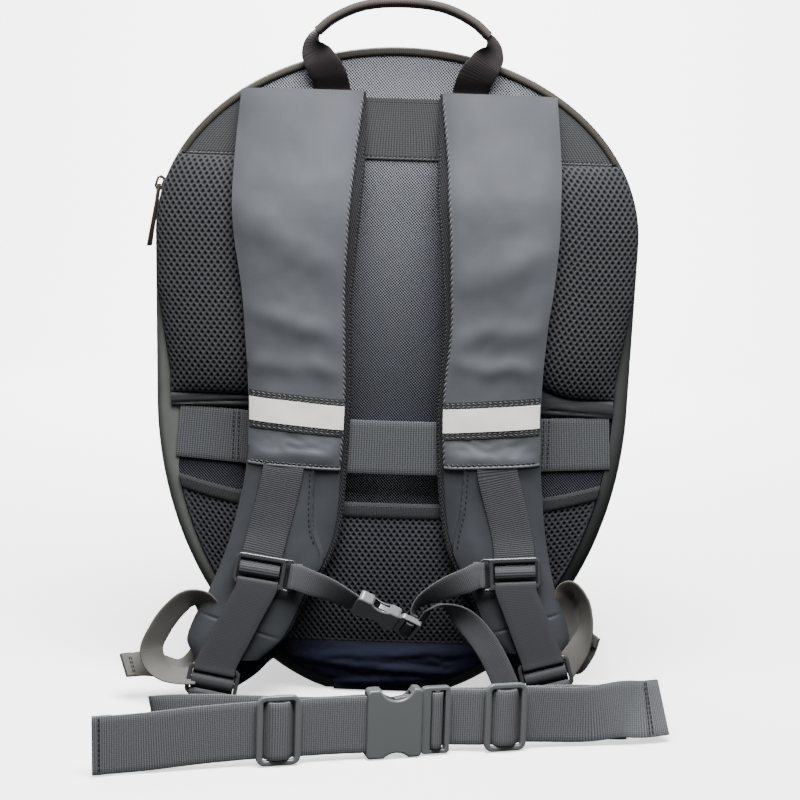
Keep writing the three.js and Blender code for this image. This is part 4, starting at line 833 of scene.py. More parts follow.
# The pads' lower hems: strips of the coated cloth, folded double over the mesh's cut edge and sewn down.
HEM = {"bottom": 205.4, "droop": 1.2, "thick": 3.6, "edge": 1.4}
HEM_TUCK = {"z": 211, "bend": 4.5, "half": 0.9, "depth": 1.2}
hem_cloth = coated_cloth("coated hem cloth", "#1f2022", "#292a2c", 0.7)
for word, side in SIDES.items():
    rows = []
    for j in range(13):
        v = j / 12
        row = []
        for i in range(41):
            u = i / 40
            low = HEM["bottom"] - HEM["droop"] * u ** 2
            top = PAD_FOOT[word] + GAP + foot_draw(side, u)
            z = low + (top - low) * v
            x = PAD["inner"] + (half_at(z, LIP + 0.5) - PAD["inner"]) * u
            tuck = math.exp(-((z - HEM_TUCK["z"] + HEM_TUCK["bend"] * u ** 2) / HEM_TUCK["half"]) ** 2)
            crease = 0.5 * noise.noise(Vector((x * 0.09, z * 0.3, side))) - HEM_TUCK["depth"] * tuck
            forward = GAP + HEM["edge"] + (HEM["thick"] - HEM["edge"] + crease) * crowned(v, 4)
            row.append(Vector((side * x, BACK_Y - forward, z)))
        rows.append(row)
    hem = skin(f"pad_hem_strip_{word}", rows)
    close_back(hem, BACK_Y - GAP)
    dress(hem, hem_cloth, "rubberised", f"pad_hem_{word}", sharp_deg=60)

# The cross bands: wide polyester webbing. The upper one is sewn flat under the strap ends. The lower one
# is sewn only at its ends, so that it stands off the panel and a suitcase handle passes behind it.
BAND = {"bottom": 381.5, "top": 423.5, "thick": 1.6, "inset": 5}
LUGGAGE = {"height": 38, "half": 150.7, "lift": 12.6, "end_z": 187, "sag": 6, "right_more": 4}
LUGGAGE_ROWS = [(-1, 0), (-0.74, 0), (-0.7, 0.07), (-0.57, 0.7), (-0.42, 1), (0, 1.04),
                (0.42, 1), (0.57, 0.7), (0.7, 0.07), (0.74, 0), (1, 0)]


def frames_along(rows, steps, skewed=False):
    """Points, widthwise and normal directions along a smooth route of (point, across) rows.
    A skewed webbing keeps its rows parallel to the bars it goes round, and not square to its route."""
    at = [Vector(r[0]) for r in rows]
    across = [Vector(r[1]) for r in rows]
    places, sides = [], []
    for i in range(len(rows) - 1):
        p1, p2 = at[i], at[i + 1]
        p0 = at[i - 1] if i else 2 * p1 - p2
        p3 = at[i + 2] if i + 2 < len(at) else 2 * p2 - p1
        d0, d1, d2 = (max(1e-3, (b - a).length ** 0.5) for a, b in ((p0, p1), (p1, p2), (p2, p3)))
        t1 = ((p1 - p0) / d0 - (p2 - p0) / (d0 + d1) + (p2 - p1) / d1) * d1
        t2 = ((p2 - p1) / d1 - (p3 - p1) / (d1 + d2) + (p3 - p2) / d2) * d1
        for k in range(steps + (i == len(rows) - 2)):
            t = k / steps
            bend = (3 * (p2 - p1) - 2 * t1 - t2) * t * t
            places.append(p1 + t1 * t + bend + (2 * (p1 - p2) + t1 + t2) * t ** 3)
            sides.append(cubic(across, i + t))
    frames = []
    for i, place in enumerate(places):
        along = (places[min(i + 1, len(places) - 1)] - places[max(i - 1, 0)]).normalized()
        side = sides[i].normalized()
        if not skewed:
            side = (sides[i] - along * sides[i].dot(along)).normalized()
        frames.append((place, side, along.cross(side).normalized()))
    return frames


def ribbon(name, frames, width, thick, columns=6):
    """Flat webbing with rounded selvedges through the given frames, its UV across and along the weave.
    The width may be one number or one for each frame."""
    widths = width if isinstance(width, list) else [width] * len(frames)
    full, round_by = max(widths), thick / 2
    half = full / 2 - round_by
    face = [-half + 2 * half * i / columns for i in range(columns + 1)]
    turns = (math.pi / 4, 0, -math.pi / 4)
    section = [(x, round_by) for x in face]
    section += [(half + round_by * math.cos(a), round_by * math.sin(a)) for a in turns]
    section += [(x, -round_by) for x in face[::-1]]
    section += [(-half - round_by * math.cos(a), round_by * math.sin(a)) for a in turns[::-1]]
    rows = []
    for (at, side, normal), wide in zip(frames, widths):
        rows.append([at + side * x * wide / full + normal * y for x, y in section])
    return skin(name, rows, wrap=True, caps=True, across=[x for x, y in section] + [section[0][0]])


# Polyester webbing, shuttle woven: coarse cross ribs nearly two millimetres apart.
band_webbing = webbing_cloth("band webbing", "#090a0b", "#5b5d60", 1.8, 1.5, column_share=0.34)
# The upper band's copy of the webbing is painted darker, as the shade it lies in between the straps.
shaded_top_webbing = webbing_cloth("top band webbing in painted shade", "#080809", "#464749", 1.8, 1.5, column_share=0.34)
rows = []
for i in range(81):
    share = 2 * i / 80 - 1
    row = []
    for k in range(13):
        z = BAND["bottom"] + (BAND["top"] - BAND["bottom"]) * k / 12
        row.append(Vector((share * half_at(z, BAND["inset"]), BACK_Y - GAP - BAND["thick"] / 2, z)))
    rows.append(row)
top_band = skin("top_band_webbing", rows)
modify(top_band, "SOLIDIFY", thickness=BAND["thick"] * MM, offset=0)
dress(top_band, shaded_top_webbing, "webbing", "top_band")
luggage_route = []
for share, lift in LUGGAGE_ROWS:
    x = share * LUGGAGE["half"] + (LUGGAGE["right_more"] if share == 1 else 0)
    y = BACK_Y - GAP - 0.2 - BAND["thick"] / 2 - LUGGAGE["lift"] * lift
    luggage_route.append(((x, y, LUGGAGE["end_z"] - LUGGAGE["sag"] * (1 - share ** 2)), (0, 0, 1)))
luggage_frames = frames_along(luggage_route, 8)
luggage = ribbon("luggage_band_webbing", luggage_frames, LUGGAGE["height"], BAND["thick"], 10)
dress(luggage, band_webbing, "webbing", "luggage_band")

# The lower pocket: the same spacer mesh as the pads, thinner and unpadded, sewn down at its sides and foot.
# Its mouth is bound with a folded dark tape that curves down in the middle.
POCKET = {"bottom": 38, "top": 141, "end_rise": 15, "inset": 10.8, "bulge": 12, "thick": 2.2, "hem": 10.5}


def pocket_top(u):
    return POCKET["top"] + POCKET["end_rise"] * abs(u) ** 3


def pocket_bulge(u, height):
    share = height / (pocket_top(u) - POCKET["bottom"])
    return POCKET["bulge"] * (1 - abs(u) ** 2.5) * (1 - (1 - share) ** 3)


def pocket_point(u, height, raise_by):
    """A point of the pocket: u from -1 to 1 across, at a height above its foot."""
    z = POCKET["bottom"] + height
    y = BACK_Y - GAP - 0.2 - pocket_bulge(u, height) - raise_by
    return Vector((u * half_at(z, POCKET["inset"]), y, z))


pocket_mesh = knitted_mesh("dark spacer mesh", "#28292d", "#404146", "#0f0f12")
POCKET_GRID = (380, 160)
pocket_reach = {}


def pocket_face(u, v):
    share = 2 * u - 1
    height = (pocket_top(share) - POCKET["bottom"] - POCKET["hem"] - GAP) * v
    key = round(POCKET["bottom"] + height, 1)
    if key not in pocket_reach:
        pocket_reach[key] = half_at(key, POCKET["inset"])
    forward = GAP + 0.2 + pocket_bulge(share, height) + POCKET["thick"]
    return Vector((share * pocket_reach[key], BACK_Y - forward, POCKET["bottom"] + height))


pocket = spacer_mesh("pocket_mesh", *POCKET_GRID, pocket_face)
pick(pocket)
bpy.ops.object.mode_set(mode="EDIT")
shape = bmesh.from_edit_mesh(pocket.data)
draw_rim(shape, [e for e in shape.edges if e.is_boundary], POCKET["thick"])
bmesh.update_edit_mesh(pocket.data)
bpy.ops.object.mode_set(mode="OBJECT")
dress(pocket, pocket_mesh, "mesh", "mesh_pocket", sharp_deg=80)

binding_cloth = webbing_cloth("binding tape", "#1a1c1e", "#37393b", 1.2, 1.0, 0.3, 0.75)
rows = []
for i in range(121):
    u = 2 * i / 120 - 1
    total = pocket_top(u) - POCKET["bottom"]
    row = []
    for k in range(10):
        share = k / 9
        puff = 0.9 * crowned(share, 4)
        row.append(pocket_point(u, total - POCKET["hem"] * (1 - share), POCKET["thick"] + puff))
    row += [p + Vector((0, POCKET["thick"] + 0.2, 0)) for p in row[::-1]]
    rows.append(row)
pocket_hem = skin("pocket_binding", rows, wrap=True, caps=True)
dress(pocket_hem, binding_cloth, "lining", "pocket_hem", sharp_deg=60)

# The base skirt: thin navy cloth left slack below the pocket, so it falls in creases on to the floor.
SKIRT = {"low": 1.2, "high": 37.6, "thick": 1.6}
SKIRT_FOLDS = [(29, 3.5, 2.2, 0.05), (19, 3, 2.6, -0.07), (9, 3, 1.8, 0.04)]
rows = []
for j in range(49):
    v = j / 48
    z = SKIRT["low"] + (SKIRT["high"] - SKIRT["low"]) * v
    reach = half_at(max(z, 10), 9.5)
    row = []
    for i in range(121):
        share = 2 * i / 120 - 1
        x = share * reach
        folds = sum(depth * math.exp(-((z - fold_z - lean * x) / height) ** 2)
                    for fold_z, height, depth, lean in SKIRT_FOLDS)
        crease = 1.5 * noise.noise(Vector((x * 0.06, z * 0.22, 5)))
        crease += 0.7 * noise.noise(Vector((x * 0.2, z * 0.3, 9)))
        swell = (1 - share ** 4) * (crowned(v, 2) * (3 + 0.8 * crease) + folds)
        row.append(Vector((x, BACK_Y - GAP - 0.2 - swell - SKIRT["thick"] / 2, z)))
    rows.append(row)
skirt = skin("base_skirt_cloth", rows)
modify(skirt, "SOLIDIFY", thickness=SKIRT["thick"] * MM, offset=0)
dress(skirt, base_cloth, "base", "base_skirt", sharp_deg=70)

# The carrying handle: dark webbing twisted a quarter turn at each end, and wrapped in a soft sleeve
# over the grip. Its legs are sewn in behind the shoulder straps.
GRIP = {"width": 21, "thick": 6.4, "forward": 14}
GRIP_ROWS = [(-58.4, 466.6), (-48, 475.4), (-28, 484.5), (0, 487.5), (28, 484.5), (48, 475.4), (58.4, 466.6)]
LEG_WEB = 25
LEG_NARROWS = {"by": 8, "from": 24, "to": 54}
LEG_ROWS = [(47.5, 425.5, 1.5, 1, 0), (47.8, 429, 2.2, 1, 0), (50.6, 438.5, 9.6, 1, 0),
            (56, 447, 13.6, 1, 0.1), (60.3, 454, 14, 0.9, 0.4), (61.6, 459.6, 14, 0.62, 0.75),
            (59.6, 465, 14, 0.42, 0.9), (53.5, 470.6, 14, 0.3, 1)]
handle_webbing = webbing_cloth("handle webbing", "#211e1f", "#363132", 1.3, 1.1, 0.18, 0.5)
sleeve_cloth = webbing_cloth("handle sleeve", "#282422", "#403a37", 1.2, 1.0, 0.2, 0.7)
grip_frames = frames_along([((x, BACK_Y - GRIP["forward"], z), (0, 1, 0)) for x, z in GRIP_ROWS], 10)
rows = []
for at, side, normal in grip_frames:
    ring = []
    for k in range(24):
        angle = math.tau * k / 24
        x = math.copysign(abs(math.cos(angle)) ** 0.6, math.cos(angle)) * GRIP["width"] / 2
        y = math.copysign(abs(math.sin(angle)) ** 0.7, math.sin(angle)) * GRIP["thick"] / 2
        ring.append(at + side * x + normal * y)
    rows.append(ring)
grip = skin("handle_sleeve", rows, wrap=True, caps=True)
dress(grip, sleeve_cloth, "handle", "handle_grip", sharp_deg=60)
for word, side in SIDES.items():
    route = [((side * x, BACK_Y - forward, z), (ax, side * ay, 0)) for x, z, forward, ax, ay in LEG_ROWS]
    leg_frames = frames_along(route, 10)
    narrowing = [LEG_WEB - LEG_NARROWS["by"] * ramp(i, LEG_NARROWS["from"], LEG_NARROWS["to"])
                 for i in range(len(leg_frames))]
    leg = ribbon(f"handle_strap_{word}", leg_frames, narrowing, BAND["thick"])
    dress(leg, handle_webbing, "handle", f"handle_leg_{word}", sharp_deg=60)

# The shoulder straps: foam pads lined with dark mesh, faced with coated cloth down to a sewn hem, and with
# a second, looser flap of the same cloth below it. The lining shows beside the face at the inner edge.
STRAP = {"half": 3.5, "edge_half": 1.0, "cover": 1.6}
HEM_LINE = {"left": (167.3, -1.8), "right": (171.0, 2.1)}
STRAP_ROWS = {
    "left": [(427.5, -67, 84, 7), (384, -71, 83, 13.6), (350, -73, 81, 19), (326, -72.5, 78, 20),
             (289, -70, 71, 20), (257, -68, 69, 20), (214, -66, 67, 20), (167, -67, 66, 21),
             (126, -72, 71, 24), (102, -79, 71, 27), (81, -89, 68, 30), (46, -105, 66, 35),
             (31, -110, 44, 37)],
    "right": [(427.5, 67, 79, 7), (381, 72, 78, 14), (355, 73, 77, 18.4), (330, 74, 75, 20),
              (294, 73.5, 71, 20), (269, 72.5, 67, 20), (218, 69.5, 68, 20), (171, 71, 68, 21),
              (130, 75, 68, 24), (107, 80, 66, 27), (86.5, 88, 60, 30), (54.5, 101, 56, 35),
              (42, 105, 40, 37)],
}
STRAP_FOLDS = {"left": [(322, 14, 1.7, -16), (267, 9, 2.0, -8), (237, 7, 1.8, -3)],
               "right": [(308, 12, 1.6, 14), (264, 9, 1.9, 4), (241, 7, 1.9, -2)]}
STRAP_SLACK = {"top": (400, 340), "foot": (150, 210), "least": 0.25}
HEM_PUFF = {"z": 176, "height": 8, "rise": 2.6}
HEM_GATHER = {"z": 184, "height": 9, "depth": 1.7}
LINING_ROWS = [(427, 0.8), (385, 6), (360, 7.5), (320, 6.5), (285, 5), (240, 4.2), (170, 4), (100, 3),
               (31, 1)]
FLAP_SEAM = {"left": [(168, 0.42), (125, 0.56), (102, 0.95), (60, 1.4)],
             "right": [(172, -0.55), (140, -0.68), (115, -0.94), (60, -1.5)]}
FLAP_STEP = 1.8
FOLD_SHARE = 0.03
CROSS_SEAM = {"left": (55, -9), "right": (63, 8)}
COVER_REACH = 0.985
OUTER_REACH = 1.012
TOP_SLOPE = 0.8
CORNER_LIFT = 2.6


def read_at(rows, z, column):
    """Smooth reading of a table's column at a height, with rows from the top down."""
    if z >= rows[0][0]:
        return rows[0][column]
    for i in range(1, len(rows)):
        if z < rows[i][0]:
            continue
        high, low = rows[i - 1], rows[i]
        span = high[0] - low[0]
        t = (high[0] - z) / span
        before = rows[i - 2] if i > 1 else high
        after = rows[i + 1] if i + 1 < len(rows) else low
        slope_high = (low[column] - before[column]) / max(1, before[0] - low[0]) * span
        slope_low = (after[column] - high[column]) / max(1, high[0] - after[0]) * span
        rise = low[column] - high[column]
        return high[column] + t * (slope_high + t * (3 * rise - 2 * slope_high - slope_low
                                                     + t * (slope_high + slope_low - 2 * rise)))
    return rows[-1][column]


def hill(z, place, height):
    return math.exp(-((z - place) / height) ** 2)


def strap_half(share):
    return STRAP["edge_half"] + (STRAP["half"] - STRAP["edge_half"]) * (1 - min(1, abs(share)) ** 6)


def strap_point(word, share, z, raise_by):
    """A point of a strap: share from -1 to 1 across its face, raised above its middle surface."""
    rows = STRAP_ROWS[word]
    corner = CORNER_LIFT * max(0, SIDES[word] * share) ** 2 * hill(z, 428, 22)
    forward = read_at(rows, z, 3) - 1.6 * share ** 2 + corner + raise_by
    return Vector((read_at(rows, z, 1) + share * read_at(rows, z, 2) / 2, BACK_Y - forward, z))


def crease_x(word, share):
    """Where a strap's creases are read, so that the two straps don't crease alike."""
    return share * 35 + (0 if word == "left" else 120)


def face_raise(word, share, z):
    """How far the padded face stands above the middle surface, with its slack creases."""
    x = crease_x(word, share)
    calm = 1 - min(1, abs(share)) ** 4
    fold = 0.0
    for place, height, depth, lean in STRAP_FOLDS[word]:
        crest = place + lean * share + 5 * noise.noise(Vector((x * 0.04, place, 0)))
        strength = 0.85 + 0.7 * noise.noise(Vector((x * 0.035, place * 0.1, 2)))
        fold += depth * strength * hill(z, crest, height)
    slack = ramp(z, *STRAP_SLACK["top"]) * max(STRAP_SLACK["least"], ramp(z, *STRAP_SLACK["foot"]))
    ripple = 0.6 * noise.noise(Vector((x * 0.04, z * 0.035, 11)))
    ripple += 0.25 * noise.noise(Vector((x * 0.09, z * 0.08, 4)))
    pinch = 1 + 0.4 * noise.noise(Vector((x * 0.05, z * 0.05, 8)))
    puff = HEM_PUFF["rise"] * pinch * hill(z, HEM_PUFF["z"], HEM_PUFF["height"])
    tuck = abs(noise.noise(Vector((x * 0.075 + z * 0.05, z * 0.13, 31))))
    gather = -HEM_GATHER["depth"] * tuck * hill(z, HEM_GATHER["z"], HEM_GATHER["height"])
    return strap_half(share) + calm * (fold + slack * ripple + puff + gather)


def cover_raise(word, share, z):
    return face_raise(word, share, z) + 0.35 + STRAP["cover"]


def flap_raise(word, share, z):
    """The flap's face: it steps down past an overlay's folded edge, and a cross seam draws in its foot."""
    inner = -SIDES[word]
    past = inner * (share - read_at(FLAP_SEAM[word], z, 1))
    step = 0.8 * math.exp(-(past / FOLD_SHARE) ** 2) - FLAP_STEP * ramp(past, 0, FOLD_SHARE)
    seam_z, lean = CROSS_SEAM[word]
    drawn = 0.8 * hill(z, seam_z + lean * share, 0.8)
    x = crease_x(word, share)
    crease = 1.2 * noise.noise(Vector((x * 0.07, z * 0.022, 21))) * ramp(z, 172, 147)
    calm = 1 - min(1, abs(share)) ** 4
    top = cover_raise(word, share, z) + step + (crease - drawn) * calm
    return max(face_raise(word, share, z) + 0.45, top)


def hem_z(word, share):
    middle, lean = HEM_LINE[word]
    return middle + lean * share


def strap_sheet(name, word, shares, heights, front, back):
    """A closed wall along a strap. shares(z) gives its columns, and each height depends on the share."""
    rows = []
    for height in heights:
        columns = shares(height(0))
        row = [strap_point(word, s, height(s), front(s, height(s))) for s in columns]
        row += [strap_point(word, s, height(s), back(s, height(s))) for s in columns[::-1]]
        rows.append(row)
    return skin(name, rows, wrap=True, caps=True)


def between(high, low, count):
    """Rows of heights from one edge of a strap's piece to another, each edge given by share."""
    return [lambda s, t=k / count: high(s) + (low(s) - high(s)) * t for k in range(count + 1)]


def even(low, high, count):
    return [low + (high - low) * i / count for i in range(count + 1)]


# Coated cloth again, in the strap's blue grey. The lining is a dark closed-hole mesh with a dull nap.
strap_face = coated_cloth("coated strap cloth", "#3f4145", "#47494d", 0.46)
# The flap's copy of the coated cloth is painted darker, as shade on the flap that tilts down below the hem.
shaded_flap_face = coated_cloth("coated flap cloth in painted shade", "#2c2e31", "#343639", 0.46)
lining_mesh = rib_cloth("dark mesh lining", "#131315", "#29292c", 1.4, 20, 0.3, 0.9)
for word, side in SIDES.items():
    table_rows = STRAP_ROWS[word]
    foot = table_rows[-1][0]

    def pad_columns(z):
        extra = 2 * read_at(LINING_ROWS, z, 1) / read_at(table_rows, z, 2)
        inner = even(1, 1 + extra, 4)[1:]
        columns = even(-1, 1, 14) + inner
        return columns if side < 0 else [-s for s in columns[::-1]]

    def strap_top(share):
        return table_rows[0][0] - TOP_SLOPE * max(0, side * share) ** 3

    def pad_front(share, z):
        return strap_half(share) if abs(share) < 1 else STRAP["edge_half"]

    pad_heights = between(strap_top, lambda s: foot, 96)
    pad = strap_sheet(f"strap_foam_{word}", word, pad_columns, pad_heights, pad_front,
                      lambda s, z: -pad_front(s, z))
    dress(pad, lining_mesh, "lining", f"strap_pad_{word}", sharp_deg=60)

    def under_here(share, z):
        return face_raise(word, share, z) + 0.3

    cover_shares = even(side * OUTER_REACH, -side * COVER_REACH, 34)
    cover_heights = between(lambda s: strap_top(s) + 0.4, lambda s: hem_z(word, s), 150)
    cover = strap_sheet(f"strap_face_{word}", word, lambda z: cover_shares, cover_heights,
                        lambda s, z: cover_raise(word, s, z), under_here)
    dress(cover, strap_face, "rubberised", f"strap_cover_{word}", sharp_deg=60)

    flap_shares = even(side * OUTER_REACH, -side * COVER_REACH, 90)
    flap_heights = between(lambda s: hem_z(word, s) - GAP, lambda s: foot + 0.5, 160)
    flap = strap_sheet(f"strap_flap_cloth_{word}", word, lambda z: flap_shares, flap_heights,
                       lambda s, z: flap_raise(word, s, z), under_here)
    dress(flap, shaded_flap_face, "rubberised", f"strap_flap_{word}", sharp_deg=60)

    bead_rows = []
    for s in even(-0.98, 0.98, 40):
        centre = strap_point(word, s, hem_z(word, s) + 0.5, cover_raise(word, s, hem_z(word, s)) - 0.1)
        bead_rows.append([centre + Vector((0, -math.cos(a), math.sin(a))) * 1.25
                          for a in (math.tau * k / 10 for k in range(10))])
    bead = skin(f"strap_hem_roll_{word}", bead_rows, wrap=True, caps=True)
    dress(bead, strap_face, "rubberised")

# The reflective bands: a dark folded tape across each strap, and on it a strip of glass-bead cloth.
# Both are sewn down along their edges, and they lean a little with the cut of the strap.
REFLECTOR = {"half": 8.25, "trim": 4.8, "thick": 0.6, "z": 205, "lean": 2.8}
trim_tape = coated_cloth("folded trim tape", "#1f2021", "#2b2c2c", 0.6)
# Glass beads in a light binder: pale warm grey, nearly matt from most sides, with a fine sparkle.
BEAD_MM = 0.5
bead_cloth, tree, shader = new_material("glass bead cloth", {"Roughness": 0.42, "Specular IOR Level": 0.6})
coords = add_node(tree, "TexCoord", {})
bead = add_node(tree, "TexVoronoi", {"Vector": coords.outputs["Object"], "Scale": 1 / (BEAD_MM * MM)})
smear = add_node(tree, "TexNoise", {"Vector": coords.outputs["Object"], "Scale": 40.0, "Detail": 4.0})
smeared = {0: 0.5, 2: bead.outputs["Distance"], 3: smear.outputs["Fac"]}
share_of = add_node(tree, "Mix", smeared, data_type="FLOAT")
tree.links.new(blend(tree, share_of.outputs[0], "#dedbd8", "#cbc7c4"), shader.inputs["Base Color"])
emboss(tree, shader, bead.outputs["Distance"], 0.2, 0.0001)
REFLECTOR_LAYERS = [
    ("trim_tape", REFLECTOR["half"] + REFLECTOR["trim"], 0.1, trim_tape, "webbing", "reflector_tape"),
    ("reflective_strip", REFLECTOR["half"], 0.1 + REFLECTOR["thick"], bead_cloth, "reflector", "reflector"),
]
for word, side in SIDES.items():
    for stem, half, lift, material, slot, node in REFLECTOR_LAYERS:
        def band_back(share, z):
            return cover_raise(word, share, z) + lift

        def band_height(share, up):
            return REFLECTOR["z"] + side * REFLECTOR["lean"] * share + half * up

        shares = even(-0.99, 0.99, 30)
        heights = [lambda s, k=k: band_height(s, 1 - 2 * k / 14) for k in range(15)]
        piece = strap_sheet(f"{stem}_{word}", word, lambda z: shares, heights,
                            lambda s, z: band_back(s, z) + REFLECTOR["thick"], band_back)
        dress(piece, material, slot, f"{node}_{word}", sharp_deg=60)

# The strap hardware: ladder-lock adjusters and lower buckles, injection moulded in acetal, each a flat frame
# with two slots round a thinner bar. The adjusters have a side ring for the sternum strap.
FRAME = {"thick": 4, "middle": 2.4, "rail": 2.8, "bar": 3.8, "slot": 5.6, "ring": 7.6, "ring_slot": 4.6}
WEB = 1.4
SHOULDER_WEB = 28.5
LOWER_WEB = 29
STERNUM_WEB = 18
LAYER = GAP + WEB / 2 + 0.05
RING_BAR = FRAME["ring"] - FRAME["ring_slot"] - 0.1
frame_top = FRAME["bar"] * 1.5 + FRAME["slot"]
bar_middle = FRAME["slot"] + FRAME["bar"]
over_bar = FRAME["thick"] / 2 + LAYER
over_middle = FRAME["middle"] / 2 + LAYER
ring_bar_x = SHOULDER_WEB / 2 + 0.9 + FRAME["rail"] + FRAME["ring"] - RING_BAR / 2


def seat(x, forward, z, lean_deg, tip_deg):
    """Where a buckle sits: its middle, its lean in the picture and its tip towards the floor."""
    turn = Matrix.Rotation(math.radians(lean_deg), 4, "Y") @ Matrix.Rotation(math.radians(tip_deg), 4, "X")
    return Matrix.Translation((x, BACK_Y - forward, z)) @ turn


def on_seat(place, x, forward, z):
    return place @ Vector((x, -forward, z))


def along_seat(place, x, forward, z):
    return (place.to_3x3() @ Vector((x, -forward, z))).normalized()


HARDWARE = {
    "left": {"adjuster": seat(-88.5, 38.6, 95.5, 8, -8), "lower": seat(-119, 47, 17.4, 10, -8), "ring": 1},
    "right": {"adjuster": seat(89.5, 38.4, 99, -4, -8), "lower": seat(113, 47, 29.5, -16, -8), "ring": -1},
}

# Acetal, injection moulded: a smooth satin dark grey with a faint spark grain and soft mould sheen.
def moulded_acetal(name, colour, smooth, rough):
    material, tree, shader = new_material(name, {"Base Color": colour, "Specular IOR Level": 0.6})
    coords = add_node(tree, "TexCoord", {})
    spark = add_node(tree, "TexNoise", {"Vector": coords.outputs["Object"], "Scale": 1500.0, "Detail": 2.0})
    emboss(tree, shader, spark.outputs["Fac"], 0.05, 0.0001)
    cloud = add_node(tree, "TexNoise", {"Vector": coords.outputs["Object"], "Scale": 60.0, "Detail": 1.0})
    rub(tree, shader, cloud, smooth, rough)
    return material


dark_acetal = moulded_acetal("dark acetal", "#2f3032", 0.2, 0.27)
grey_acetal = moulded_acetal("grey acetal", "#5c5f60", 0.27, 0.32)
# The sternum buckle's acetal is a lighter grey, partly its own tone and partly painted light on its face,
# which turns down from the lamps.
shiny_acetal = moulded_acetal("polished acetal", "#66686b", 0.13, 0.18)


def unite(piece, other):
    """Fuses another solid into a piece."""
    modify(piece, "BOOLEAN", operation="UNION", object=other, solver="EXACT")
    bpy.data.objects.remove(other)
    return piece


def dress_moulding(piece, acetal, node):
    """Dresses a moulding and lets its flat faces lead the shading of its rounded edges."""
    dress(piece, acetal, "plastic", node)
    modify(piece, "WEIGHTED_NORMAL", keep_sharp=True, weight=80)


def slot_frame(name, web, ring, place):
    inner = web / 2 + 0.9
    outer = inner + FRAME["rail"]
    left = -outer - (FRAME["ring"] if ring < 0 else 0)
    right = outer + (FRAME["ring"] if ring > 0 else 0)
    loops = [rounded(left, -frame_top, right, frame_top, 4.5)]
    slot_top = FRAME["slot"] + FRAME["bar"] / 2
    loops.append(rounded(-inner, -slot_top, inner, slot_top, 1.2))
    if ring:
        near, far = sorted(ring * x for x in (outer + 0.1, outer + 0.1 + FRAME["ring_slot"]))
        loops.append(rounded(near, -STERNUM_WEB / 2 - 0.6, far, STERNUM_WEB / 2 + 0.6, 1.4))
    body = plate(name, loops, FRAME["thick"], 1.2, place, 4)
    bar_loop = rounded(-inner - 1, -FRAME["bar"] / 2, inner + 1, FRAME["bar"] / 2, 0.6)
    bar = plate(name + "_bar", [bar_loop], FRAME["middle"], 0.7, place, 3)
    return unite(body, bar)


for word, parts in HARDWARE.items():
    adjuster = slot_frame(f"ladder_lock_{word}", SHOULDER_WEB, parts["ring"], parts["adjuster"])
    dress_moulding(adjuster, dark_acetal, f"adjuster_{word}")
    lower = slot_frame(f"lower_lock_{word}", LOWER_WEB, 0, parts["lower"])
    dress_moulding(lower, dark_acetal, f"lower_buckle_{word}")

# The strap webbing: from under the hem it runs behind the adjuster's top bar and over its middle bar.
# A second length folds round the adjuster's bottom bar and runs down to the lower buckle.
HEM_WEB = {"left": [(171, -0.21, -1.0), (163, -0.22, 1.1), (140, -0.27, 1.1), (122, -0.3, 1.1)],
           "right": [(173, 0.1, -1.0), (165, 0.12, 1.1), (140, 0.26, 1.1), (122, 0.32, 1.1)]}


def round_bar(a, b):
    """A strap's way round the end of a bar of half-length a and half-thickness b, front to back."""
    slant = LAYER * 0.71
    return [(a, b + LAYER), (a + slant, b + slant), (a + LAYER, b * 0.5),
            (a + LAYER, -b * 0.5), (a + slant, -b - slant), (a, -b - LAYER)]


def lay(name, route, steps, width, material, *nodes, skewed=False):
    """Lays one length of webbing along its route."""
    webbing = ribbon(name, frames_along(route, steps, skewed), width, WEB)
    dress(webbing, material, "webbing", *nodes, sharp_deg=60)


strap_webbing = webbing_cloth("strap webbing", "#111213", "#45464a", 1.5, 1.1)
lower_webbing = webbing_cloth("lower strap webbing", "#2a2b2e", "#37383b", 1.1, 0.9, 0.06)
for word, parts in HARDWARE.items():
    place = parts["adjuster"]
    across = along_seat(place, 1, 0, 0)
    route = [(strap_point(word, s, z, cover_raise(word, s, z) + lift), (1, 0, 0))
             for z, s, lift in HEM_WEB[word]]
    threaded = [(-over_bar, bar_middle + 2), (-over_bar, bar_middle - 1.7), (0, 4.6),
                (over_middle, 1.8), (over_middle, -1.6), (0.8, -3.4)]
    route += [(on_seat(place, 0, forward, z), across) for forward, z in threaded]
    lay(f"shoulder_webbing_{word}", route, 8, SHOULDER_WEB, strap_webbing, f"strap_webbing_{word}")

    fold = round_bar(FRAME["bar"] / 2, FRAME["thick"] / 2)
    upper = [(-3.6, -over_bar)] + fold[::-1] + [(-2.4, over_bar)]
    route = [(on_seat(place, 0, forward, s - bar_middle), across) for s, forward in upper]
    low_place = parts["lower"]
    low_across = along_seat(low_place, 1, 0, 0)
    under = [(-2.4, over_bar)] + fold + [(-1, -over_bar)]
    start, end = route[-1][0], on_seat(low_place, 0, over_bar, bar_middle + 2.4)
    route += [(start.lerp(end, share), across.lerp(low_across, share)) for share in (0.33, 0.67)]
    route += [(on_seat(low_place, 0, forward, bar_middle - s), low_across) for s, forward in under]
    lay(f"lower_webbing_{word}", route, 6, LOWER_WEB, lower_webbing, f"lower_strap_{word}", skewed=True)

